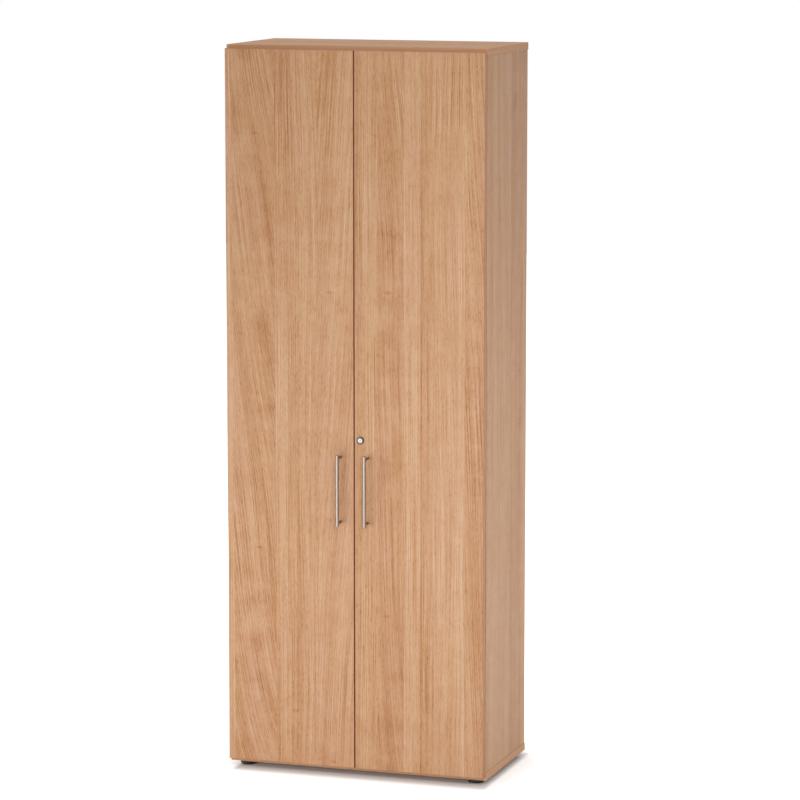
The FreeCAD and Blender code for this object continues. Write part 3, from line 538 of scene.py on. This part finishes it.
def cross_head_tree():
    """Geometry nodes that grow a cross-slotted head with its shank on every seat."""
    tree, given = new_growth("cross_slotted_heads",
                             ("Head radius", "Head height", "Shank radius", "Length"))
    radius = given["Head radius"]
    height = given["Head height"]
    chamfer = reckon(tree, "MULTIPLY", height, CHAMFER_PER_HEIGHT)
    tip = reckon(tree, "MULTIPLY", given["Length"], TIP_PER_LENGTH)

    # The head starts as its chamfered top, and grows downwards into rim, shank and tip
    cone = put(tree, "GeometryNodeMeshCone", {
        "Vertices": HEAD_SIDES,
        "Radius Top": reckon(tree, "MULTIPLY", radius, TOP_PER_RADIUS),
        "Radius Bottom": radius,
        "Depth": chamfer,
    }).outputs
    down = put(tree, "ShaderNodeCombineXYZ", {"Z": reckon(tree, "MULTIPLY", chamfer, -1.0)}).outputs[0]
    top = put(tree, "GeometryNodeTransform", {"Geometry": cone["Mesh"], "Translation": down}).outputs[0]
    shape, end = grow(tree, top, cone["Bottom"], reckon(tree, "SUBTRACT", height, chamfer))
    shape, end = grow(tree, shape, end, 0.0, reckon(tree, "DIVIDE", given["Shank radius"], radius))
    straight = reckon(tree, "SUBTRACT", reckon(tree, "SUBTRACT", given["Length"], height), tip)
    shape, end = grow(tree, shape, end, straight)
    shape, end = grow(tree, shape, end, tip, TIP_PER_SHANK)

    # Two blocks stand crosswise, half above the head, and their lower halves cut the slot
    cut = put(tree, "GeometryNodeMeshBoolean", {"Mesh 1": shape}, operation="DIFFERENCE", solver="EXACT")
    long_side = reckon(tree, "MULTIPLY", radius, SLOT_SPAN_PER_RADIUS)
    short_side = reckon(tree, "MULTIPLY", radius, SLOT_WIDTH_PER_RADIUS)
    tall = reckon(tree, "MULTIPLY", height, 2.0 * SLOT_DEPTH_PER_HEIGHT)
    for along_x, along_y in ((long_side, short_side), (short_side, long_side)):
        size = put(tree, "ShaderNodeCombineXYZ", {"X": along_x, "Y": along_y, "Z": tall}).outputs[0]
        block = put(tree, "GeometryNodeMeshCube", {"Size": size}).outputs["Mesh"]
        tree.links.new(block, cut.inputs["Mesh 2"])

    # Every head looks the way its seat does, turned by chance about its own axis
    outward = put(tree, "GeometryNodeInputNamedAttribute", {"Name": "outward"}, data_type="FLOAT_VECTOR")
    facing = put(tree, "FunctionNodeAlignRotationToVector", {
        "Vector": outward.outputs[0],
    }, axis="Z").outputs[0]
    chance = put(tree, "FunctionNodeRandomValue", {
        "Max": math.tau, "Seed": HEAD_TURN_SEED,
    }, data_type="FLOAT").outputs["Value"]
    spin = put(tree, "ShaderNodeCombineXYZ", {"Z": chance}).outputs[0]
    turned = put(tree, "FunctionNodeRotateRotation", {
        "Rotation": facing, "Rotate By": spin,
    }, rotation_space="LOCAL").outputs[0]
    fill_seats(tree, given, cut.outputs["Mesh"], turned)
    return tree


def solids_of(node):
    """The low and high corners of each separate solid in a part, in a fixed order."""
    shape = bmesh.new()
    shape.from_mesh(frame["nodes"][node].data)
    bmesh.ops.remove_doubles(shape, verts=shape.verts, dist=MERGE_DISTANCE)
    boxes = []
    waiting = set(shape.verts)
    while waiting:
        solid = [waiting.pop()]
        for vertex in solid:
            for edge in vertex.link_edges:
                other = edge.other_vert(vertex)
                if other in waiting:
                    waiting.remove(other)
                    solid.append(other)
        low = Vector(min(vertex.co[axis] for vertex in solid) for axis in range(3))
        high = Vector(max(vertex.co[axis] for vertex in solid) for axis in range(3))
        boxes.append((low, high))
    shape.free()
    return sorted(boxes, key=lambda box: tuple(round(value, CORNER_DIGITS) for value in box[0]))


def plain_piece(holder, name):
    """What a holder's modifiers make, as a plain mesh on an object of its own."""
    graph = bpy.context.evaluated_depsgraph_get()
    mesh = bpy.data.meshes.new_from_object(holder.evaluated_get(graph), depsgraph=graph)
    mesh.name = name
    bpy.data.objects.remove(holder)
    piece = bpy.data.objects.new(name, mesh)
    bpy.context.scene.collection.objects.link(piece)
    return piece


def grown_piece(tree, name, seats, outwards, sizes, finish):
    """The plain mesh that a tree grows on seats which look outwards, in the given sizes and finish."""
    mesh = bpy.data.meshes.new(f"{name}_seats")
    mesh.from_pydata(seats, [], [])
    directions = mesh.attributes.new("outward", "FLOAT_VECTOR", "POINT")
    for place, outward in zip(directions.data, outwards):
        place.vector = outward
    holder = bpy.data.objects.new(f"{name}_seats", mesh)
    bpy.context.scene.collection.objects.link(holder)
    modifier = holder.modifiers.new("grown", "NODES")
    modifier.node_group = tree
    values = {label: size / MM for label, size in sizes.items()}
    values["Finish"] = finish
    for item in tree.interface.items_tree:
        if item.in_out == "INPUT" and item.name in values:
            modifier[item.identifier] = values[item.name]
    return plain_piece(holder, name)


def stand_for(piece, node):
    """Puts a piece in the place of a part, on that part's body, and hides the part."""
    bodies = frame["record"]["behaviour"]["bodies"]
    body = next(name for name, nodes in bodies.items() if node in nodes)
    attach(piece, body)
    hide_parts(node)


def set_heads(node, name, outward_of, sizes, finish):
    """Cross-slotted heads for the solids of a part, each looking the way that outward_of says."""
    seats = []
    outwards = []
    for low, high in solids_of(node):
        outward = outward_of(low, high)
        middle = (low + high) / 2
        half = (high - low) / 2
        seats.append(middle + Vector(along * reach for along, reach in zip(outward, half)))
        outwards.append(outward)
    stand_for(grown_piece(HEADS, name, seats, outwards, sizes, finish), node)


def into_cabinet(low, high):
    """What sits in a side looks towards the middle of the cabinet."""
    return Vector((-math.copysign(1.0, low.x), 0.0, 0.0))


def cam_outward(low, high):
    """A disc in a side looks into the cabinet, and one in the shelf, which lies flat, looks down."""
    spans = high - low
    if spans.z < spans.y:
        return Vector((0.0, 0.0, -1.0))
    return into_cabinet(low, high)


HEADS = cross_head_tree()
cast_zinc = metal("cast_zinc", ZINC, roughness=0.38, per_metre=420.0, contrast=0.2)
disc_low, disc_high = solids_of("cam_discs")[0]
disc_radius = (disc_high.y - disc_low.y) / 2
set_heads("cam_discs", "cam_faces", cam_outward, {
    "Head radius": disc_radius,
    "Head height": CAM_FACE_HEIGHT,
    "Shank radius": disc_radius * CAM_BODY_SHARE,
    "Length": disc_high.x - disc_low.x,
}, cast_zinc)
dress("cam_bolts", cast_zinc)

# Shelf pins: turned steel pins pushed into the holes of the sides, each with a flat for the shelf.
# Zinc plated, with a faint speckle.
PLATED_STEEL = (142, 141, 139)
plated_steel = metal("plated_steel", PLATED_STEEL, roughness=0.3, per_metre=900.0, contrast=0.14)
dress("shelf_pins", plated_steel)

# Feet: black moulded pads on steel spindles that screw in and out of zinc sockets, for levelling.
# A brown cap in the bottom panel hides the hole through which the spindle is turned.
FEET = ("front_left_foot", "front_right_foot", "rear_left_foot", "rear_right_foot")
FOOT_BLACK = (26, 26, 27)
CAP_BROWN = (168, 126, 94)
MOULD_GRAIN_PER_METRE = 1600.0
MOULD_CLOUDS_PER_METRE = 45.0
MOULD_SHARES = (0.82, 1.18)
MOULD_GLOSS_SWING = (-0.06, 0.08)
MOULD_RELIEF_STRENGTH = 0.25
MOULD_RELIEF_HEIGHT = 0.1 * MM
THREAD_PITCH = 1.5 * MM
THREAD_DEPTH = 0.8 * MM
FLANK_STEEPNESS = 1.25
THREAD_SIDES = 24
ROWS_PER_TURN = 8
UPWARDS = Vector((0.0, 0.0, 1.0))


def moulded(name, colour, roughness):
    """Moulded plastic with a fine matt grain and slightly uneven gloss."""
    material, tree, shader = new_finish(name)
    grain = noise_on(tree, MOULD_GRAIN_PER_METRE)
    clouds = noise_on(tree, MOULD_CLOUDS_PER_METRE)
    smooth, rough = (roughness + swing for swing in MOULD_GLOSS_SWING)
    bump = put(tree, "ShaderNodeBump", {
        "Height": grain, "Strength": MOULD_RELIEF_STRENGTH, "Distance": MOULD_RELIEF_HEIGHT,
    }).outputs[0]
    feed(tree, shader, {
        "Base Color": mottled(tree, clouds, NOISE_RANGE, colour, MOULD_SHARES),
        "Roughness": ease(tree, grain, *NOISE_RANGE, smooth, rough),
        "Normal": bump,
    })
    return material


def thread_tree():
    """Geometry nodes that grow a threaded rod about every seat."""
    tree, given = new_growth("threaded_rods", ("Radius", "Length", "Pitch", "Depth"))
    turns = reckon(tree, "DIVIDE", given["Length"], given["Pitch"])
    rod = put(tree, "GeometryNodeMeshCylinder", {
        "Vertices": THREAD_SIDES,
        "Side Segments": reckon(tree, "MULTIPLY", turns, ROWS_PER_TURN),
        "Radius": given["Radius"],
        "Depth": given["Length"],
    }).outputs["Mesh"]

    # The thread climbs one pitch in a turn, and its crests are cut off flat at the rod's radius
    position = put(tree, "GeometryNodeInputPosition").outputs[0]
    place = put(tree, "ShaderNodeSeparateXYZ", {"Vector": position}).outputs
    turn = reckon(tree, "DIVIDE", reckon(tree, "ARCTAN2", place["Y"], place["X"]), math.tau)
    climb = reckon(tree, "SUBTRACT", reckon(tree, "DIVIDE", place["Z"], given["Pitch"]), turn)
    saw = reckon(tree, "MULTIPLY_ADD", reckon(tree, "FRACT", climb), 2.0, -1.0)
    flank = reckon(tree, "MULTIPLY", reckon(tree, "ABSOLUTE", saw), FLANK_STEEPNESS)
    crest = reckon(tree, "MINIMUM", flank, 1.0)

    # It runs out over one pitch at both ends
    half_length = reckon(tree, "DIVIDE", given["Length"], 2.0)
    to_end = reckon(tree, "SUBTRACT", half_length, reckon(tree, "ABSOLUTE", place["Z"]))
    inside = reckon(tree, "MINIMUM", reckon(tree, "DIVIDE", to_end, given["Pitch"]), 1.0)
    missing = reckon(tree, "SUBTRACT", 1.0, reckon(tree, "MULTIPLY", crest, inside))
    cut_depth = reckon(tree, "MULTIPLY", missing, given["Depth"])
    inward = reckon(tree, "MULTIPLY", reckon(tree, "DIVIDE", cut_depth, given["Radius"]), -1.0)
    offset = put(tree, "ShaderNodeCombineXYZ", {
        "X": reckon(tree, "MULTIPLY", place["X"], inward),
        "Y": reckon(tree, "MULTIPLY", place["Y"], inward),
    }).outputs[0]
    threaded = put(tree, "GeometryNodeSetPosition", {"Geometry": rod, "Offset": offset}).outputs[0]
    fill_seats(tree, given, threaded)
    return tree


foot_plastic = moulded("foot_plastic", FOOT_BLACK, roughness=0.42)
RODS = thread_tree()
for foot in FEET:
    dress(f"{foot}_pad", foot_plastic)
    rod_low, rod_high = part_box(f"{foot}_spindle")
    rod_middle = (rod_low + rod_high) / 2
    rod = grown_piece(RODS, f"{foot}_thread", [rod_middle], [UPWARDS], {
        "Radius": (rod_high.x - rod_low.x) / 2,
        "Length": rod_high.z - rod_low.z,
        "Pitch": THREAD_PITCH,
        "Depth": THREAD_DEPTH,
    }, plated_steel)
    stand_for(rod, f"{foot}_spindle")
dress("foot_sockets", cast_zinc)
dress("foot_caps", moulded("cap_plastic", CAP_BROWN, roughness=0.5))

# Strikes: small zinc plates with a steel pin, screwed to the bottom and the top panel.
# The hooks of the locking rod turn round the pins.
WOOD_SCREW = {
    "Head radius": 3.0 * MM,
    "Head height": 1.6 * MM,
    "Shank radius": 1.5 * MM,
    "Length": 16.6 * MM,
}


def strike_outward(low, high):
    """A screw head looks into the cabinet from the board that it is in."""
    middle = (cad_box[0].z + cad_box[1].z) / 2
    return Vector((0.0, 0.0, 1.0 if low.z < middle else -1.0))


dress("strike_plates", cast_zinc)
dress("strike_pins", plated_steel)
set_heads("strike_screws", "strike_screw_heads", strike_outward, WOOD_SCREW, plated_steel)

# Hinges on the carcass: a cast cross plate with two screws, and a cranked arm with two on its rib.
# Nickel plated; four on each side.
SIDES = ("left", "right")
NICKEL = (152, 149, 145)
PLATE_SCREW = {
    "Head radius": 4.5 * MM,
    "Head height": 2.2 * MM,
    "Shank radius": 3.0 * MM,
    "Length": 15.7 * MM,
}
ARM_SCREW = {
    "Head radius": 4.0 * MM,
    "Head height": 1.7 * MM,
    "Shank radius": 2.5 * MM,
    "Length": 9.2 * MM,
}
nickel = metal("nickel_plate", NICKEL, roughness=0.26, per_metre=500.0, contrast=0.1)
for side in SIDES:
    dress(f"{side}_hinge_plates", nickel)
    dress(f"{side}_hinge_arms", nickel)
    set_heads(f"{side}_hinge_plate_screws", f"{side}_plate_screw_heads",
              into_cabinet, PLATE_SCREW, plated_steel)
    set_heads(f"{side}_hinge_arm_screws", f"{side}_arm_screw_heads",
              into_cabinet, ARM_SCREW, plated_steel)

# Doors: boards of the same decor with upright grain and rounded bands on all four edges.
# Each hangs on four cup hinges let into its back, and the right one is bored for the lock.
LEFT_DOOR_LEAVES = (
    (20, 0.65, 0.00, 0.1),
    (132, 0.47, 0.13, 1.0),
    (134, 0.51, 0.00, 0.2),
    (110, 0.54, -0.07, 0.5),
)
RIGHT_DOOR_LEAVES = (
    (71, 0.53, 0.00, 0.2),
    (80, 0.49, 0.06, 0.8),
    (51, 0.63, 0.00, 0.1),
    (5, 0.40, 0.00, 0.1),
    (108, 0.54, 0.00, 0.3),
    (22, 0.61, 0.00, 0.1),
    (59, 0.52, 0.05, 0.3),
)
# The doors' bands are darker than the other boards' bands, as painted shade on their rounded edges
DOOR_BAND_PAINTED_SHADE_TONES = ((0.25, (168, 112, 80)), (0.75, (192, 138, 102)))
DOORS = (("left_door", LEFT_DOOR_LEAVES, 21.0), ("right_door", RIGHT_DOOR_LEAVES, 33.0))
for node, leaves, seed in DOORS:
    face_board(node, UPRIGHT_BOARD, leaves, seed, band_tones=DOOR_BAND_PAINTED_SHADE_TONES)

# Hinges on the doors: a pressed cup let into the door, two screws in its flange, and a pin in its ears.
# The cup has the same nickel plate, and the pin is of plated steel.
CUP_SCREW = {
    "Head radius": 3.5 * MM,
    "Head height": 1.0 * MM,
    "Shank radius": 2.0 * MM,
    "Length": 12.8 * MM,
}


def out_of_door(low, high):
    """A screw in the back of a door looks backwards."""
    return Vector((0.0, 1.0, 0.0))


for side in SIDES:
    dress(f"{side}_hinge_cups", nickel)
    dress(f"{side}_hinge_pins", plated_steel)
    set_heads(f"{side}_hinge_cup_screws", f"{side}_cup_screw_heads",
              out_of_door, CUP_SCREW, plated_steel)

# Bumpers: soft clear rubber buttons stuck to the backs of the doors.
# They meet the front edges of the top and the bottom panel.
CLEAR_RUBBER = (222, 222, 218)
HAZE_PER_METRE = 300.0
RUBBER_SHARES = (0.85, 1.0)
RUBBER_ROUGHNESS = (0.30, 0.42)
RUBBER_CLEARNESS = 0.45
bumper_rubber, tree, shader = new_finish("bumper_rubber")
haze = noise_on(tree, HAZE_PER_METRE)
feed(tree, shader, {
    "Base Color": mottled(tree, haze, NOISE_RANGE, CLEAR_RUBBER, RUBBER_SHARES),
    "Roughness": ease(tree, haze, *NOISE_RANGE, *RUBBER_ROUGHNESS),
    "Transmission Weight": RUBBER_CLEARNESS,
})
for side in SIDES:
    dress(f"{side}_door_bumpers", bumper_rubber)

# Handles: a round steel bar on two turned posts, brushed along its length.
# Each post is held by a screw from behind the door.
# The steel's warm tint is partly a painted reflection of the wooden doors
SATIN_STEEL_AND_PAINTED_REFLECTION = (142, 129, 120)
BRUSHED_UPRIGHT = (1500.0, 1500.0, 14.0)
TURNED_RINGS = (200.0, 1500.0, 200.0)
HANDLE_SCREW = {
    "Head radius": 4.0 * MM,
    "Head height": 2.2 * MM,
    "Shank radius": 2.0 * MM,
    "Length": 31.2 * MM,
}
bar_steel = metal("brushed_bar_steel", SATIN_STEEL_AND_PAINTED_REFLECTION,
                  roughness=0.3, per_metre=BRUSHED_UPRIGHT, contrast=0.1)
post_steel = metal("turned_post_steel", SATIN_STEEL_AND_PAINTED_REFLECTION,
                   roughness=0.3, per_metre=TURNED_RINGS, contrast=0.1)
for side in SIDES:
    dress(f"{side}_handle_bar", bar_steel)
    dress(f"{side}_handle_posts", post_steel)
    set_heads(f"{side}_handle_screws", f"{side}_handle_screw_heads",
              out_of_door, HANDLE_SCREW, plated_steel)

# Lock: a chromed cylinder whose bevelled rosette is painted dark as a painted dark reflection, and a
# turning plug whose key slot is painted dark inside as painted shade.
# Behind the door a zinc case, held by screws, takes the cylinder's end and lets the rod through.
# The rosette's chrome is painted dark as a painted dark reflection
CHROME_PAINTED_DARK_REFLECTION = (58, 57, 56)
PLUG_NICKEL = (124, 122, 120)
# Painted shade inside the key slot, from its mouth to its depth
SLOT_PAINTED_SHADE = (20, 19, 18)
SLOT_SHADE_START = 0.05 * MM
SLOT_SHADE_END = 0.5 * MM
lock_chrome = metal("lock_chrome", CHROME_PAINTED_DARK_REFLECTION, roughness=0.09, per_metre=260.0, contrast=0.06)
dress("lock_cylinder", lock_chrome)
plug_nickel = metal("plug_nickel", PLUG_NICKEL, roughness=0.16, per_metre=900.0, contrast=0.1)
tree = plug_nickel.node_tree
plug_colour = tree.nodes["Principled BSDF"].inputs["Base Color"]
plated = plug_colour.links[0].from_socket
# The plug's colour darkens deeper into the key slot as painted shade
plug_place = put(tree, "ShaderNodeTexCoord").outputs["Object"]
depth = put(tree, "ShaderNodeSeparateXYZ", {"Vector": plug_place}).outputs["Y"]
plug_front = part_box("lock_plug")[0].y
slot_painted_shade = ease(tree, depth, plug_front + SLOT_SHADE_START, plug_front + SLOT_SHADE_END)
tree.links.new(blend_colours(tree, slot_painted_shade, plated, paint(SLOT_PAINTED_SHADE)), plug_colour)
dress("lock_plug", plug_nickel)
dress("lock_case", cast_zinc)
set_heads("lock_case_screws", "lock_case_screw_heads", out_of_door, WOOD_SCREW, plated_steel)

# Rod guides: dark moulded saddles, each screwed to the door with two screws.
# They hold the locking rod along the back of the right door.
GUIDE_GREY = (62, 62, 64)
dress("rod_guides", moulded("guide_plastic", GUIDE_GREY, roughness=0.48))
set_heads("rod_guide_screws", "rod_guide_screw_heads", out_of_door, WOOD_SCREW, plated_steel)

# Locking rod: a drawn steel rod from top to bottom, with a cast zinc hook at each end.
# It turns with the lock, and the hooks reach round the pins of the strikes.
DRAWN_UPRIGHT = (1200.0, 1200.0, 9.0)
drawn_steel = metal("drawn_rod_steel", PLATED_STEEL,
                    roughness=0.28, per_metre=DRAWN_UPRIGHT, contrast=0.1)
dress("locking_rod", drawn_steel)
dress("rod_hooks", cast_zinc)

# Floor: a plain pale studio floor, whose painted light to the eye and in reflections is weakest where
# the cabinet stands, as a soft painted shadow.
# Away from the cabinet it fades into the white of the background.
WHITE = (1.0, 1.0, 1.0, 1.0)
FLOOR_HALF_WIDTH = 14.0
FLOOR_CORNERS = ((-1, -1), (1, -1), (1, 1), (-1, 1))
FLOOR_COLOUR = (250, 250, 250)
FLOOR_ROUGHNESS = 0.9
# Painted light that the floor gives off to the eye and in reflections right at the cabinet, kept low
# there as a painted shadow
FLOOR_PAINTED_LIGHT_NEAR = 0.03

# A painted shade has its reach in metres, its tightness along X, Y and Z, and how much the painted floor
# light gains past it
FLOOR_PAINTED_SHADES = (
    (0.05, (3.0, 1.0, 1.0), 0.36),
    (0.12, (1.0, 1.5, 1.0), 0.18),
    (1.2, (1.0, 1.0, 1.0), 0.4),
)

# The painted shades start this far in from the cabinet's left edge, and right at its other edges
PAINTED_SHADE_LEFT_INSET = 0.03


def seen_directly(tree):
    """One for a ray that the eye, a mirror or glass sends, and nought for light that falls on things."""
    path = put(tree, "ShaderNodeLightPath").outputs
    reflected = reckon(tree, "MAXIMUM", path["Is Glossy Ray"], path["Is Transmission Ray"])
    return reckon(tree, "MAXIMUM", path["Is Camera Ray"], reflected)


floor_mesh = bpy.data.meshes.new("studio_floor")
corners = [(x * FLOOR_HALF_WIDTH, y * FLOOR_HALF_WIDTH, 0.0) for x, y in FLOOR_CORNERS]
floor_mesh.from_pydata(corners, [], [(0, 1, 2, 3)])
studio_floor = bpy.data.objects.new("studio_floor", floor_mesh)
bpy.context.scene.collection.objects.link(studio_floor)
floor_with_painted_shadow, tree, shader = new_finish("studio_floor_paint")
base_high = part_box("bottom_panel")[1]
door_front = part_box("left_door")[0].y
half_depth = (base_high.y - door_front) / 2
stand_middle = (PAINTED_SHADE_LEFT_INSET / 2, door_front + half_depth, 0.0)
stand_half = (base_high.x - PAINTED_SHADE_LEFT_INSET / 2, half_depth, 0.0)
floor_place = put(tree, "ShaderNodeTexCoord").outputs["Object"]
aside = reckon_vector(tree, "ABSOLUTE", reckon_vector(tree, "SUBTRACT", floor_place, stand_middle))
outside = reckon_vector(tree, "SUBTRACT", aside, stand_half)
clear = reckon_vector(tree, "MAXIMUM", outside, (0.0, 0.0, 0.0))
# Painted light: the floor's emission grows away from the cabinet, leaving a painted shadow where it
# stands
painted_floor_light = FLOOR_PAINTED_LIGHT_NEAR
for reach, tightness, gain in FLOOR_PAINTED_SHADES:
    drawn_in = reckon_vector(tree, "MULTIPLY", clear, tightness)
    distance = put(tree, "ShaderNodeVectorMath", {0: drawn_in}, operation="LENGTH").outputs["Value"]
    painted_floor_light = reckon(tree, "ADD", ease(tree, distance, 0.0, reach, 0.0, gain), painted_floor_light)
feed(tree, shader, {
    "Base Color": paint(FLOOR_COLOUR),
    "Roughness": FLOOR_ROUGHNESS,
    "Specular IOR Level": 0.0,
    "Emission Color": WHITE,
    "Emission Strength": reckon(tree, "MULTIPLY", painted_floor_light, seen_directly(tree)),
})
floor_mesh.materials.append(floor_with_painted_shadow)

# Studio light: a white room, two softboxes in front, and one each at the right, above and behind.
# The room is plain white to the eye and in reflections, and softer as light on things.
ROOM_LIGHT = 0.38

# A softbox has its name, place, target, size in metres, power, spread in degrees, and if metal shows it
SOFTBOXES = (
    ("front_left_softbox", (-1.0, -2.9, 0.55), (0.0, -0.19, 0.5), (3.2, 1.0), 12.3, 100.0, True),
    ("front_right_softbox", (1.4, -2.9, 2.6), (0.1, -0.19, 1.0), (1.4, 1.0), 35.0, 180.0, False),
    ("right_softbox", (3.0, -0.6, 0.8), (0.4, 0.0, 0.8), (1.4, 1.2), 3.6, 74.0, False),
    ("overhead_softbox", (0.0, 0.0, 4.5), (0.0, 0.0, 2.1), (2.0, 2.0), 19.0, 180.0, False),
    ("back_softbox", (-2.6, 3.2, 1.2), (-0.1, 0.1, 1.0), (1.8, 1.8), 78.0, 180.0, False),
)
room = bpy.data.worlds.new("studio_room")
room.use_nodes = True
tree = room.node_tree
feed(tree, tree.nodes["Background"], {
    "Color": WHITE,
    "Strength": ease(tree, seen_directly(tree), 0.0, 1.0, ROOM_LIGHT, 1.0),
})
bpy.context.scene.world = room
for name, spot, target, size, power, spread, shows in SOFTBOXES:
    lamp = bpy.data.lights.new(name, "AREA")
    lamp.shape = "RECTANGLE"
    lamp.size, lamp.size_y = size
    lamp.energy = power
    lamp.spread = math.radians(spread)
    softbox = bpy.data.objects.new(name, lamp)
    softbox.location = spot
    softbox.rotation_euler = (Vector(target) - Vector(spot)).to_track_quat("-Z", "Y").to_euler()
    softbox.visible_camera = False
    softbox.visible_glossy = shows
    bpy.context.scene.collection.objects.link(softbox)

# Camera: above eye level and to the right of the cabinet, with a long lens.
# It stands where the photograph's viewing angle puts it; turn and tilt are in degrees.
CAMERA_PLACE = (3.465, -10.071, 2.669)
CAMERA_TURN = 18.594
CAMERA_TILT = 8.371
CAMERA_LENS = 163.2
CAMERA_SENSOR = 36.0
CAMERA_REACH = 200.0

# A camera that isn't turned looks straight down, and this turn brings it level
QUARTER_TURN = 90.0
lens = bpy.data.cameras.new("camera")
lens.sensor_width = CAMERA_SENSOR
lens.lens = CAMERA_LENS
lens.clip_end = CAMERA_REACH
camera = bpy.data.objects.new("camera", lens)
camera.location = CAMERA_PLACE
camera.rotation_euler = (math.radians(QUARTER_TURN - CAMERA_TILT), 0.0, math.radians(CAMERA_TURN))
bpy.context.scene.collection.objects.link(camera)
bpy.context.scene.camera = camera
bpy.context.scene.view_settings.view_transform = "Standard"
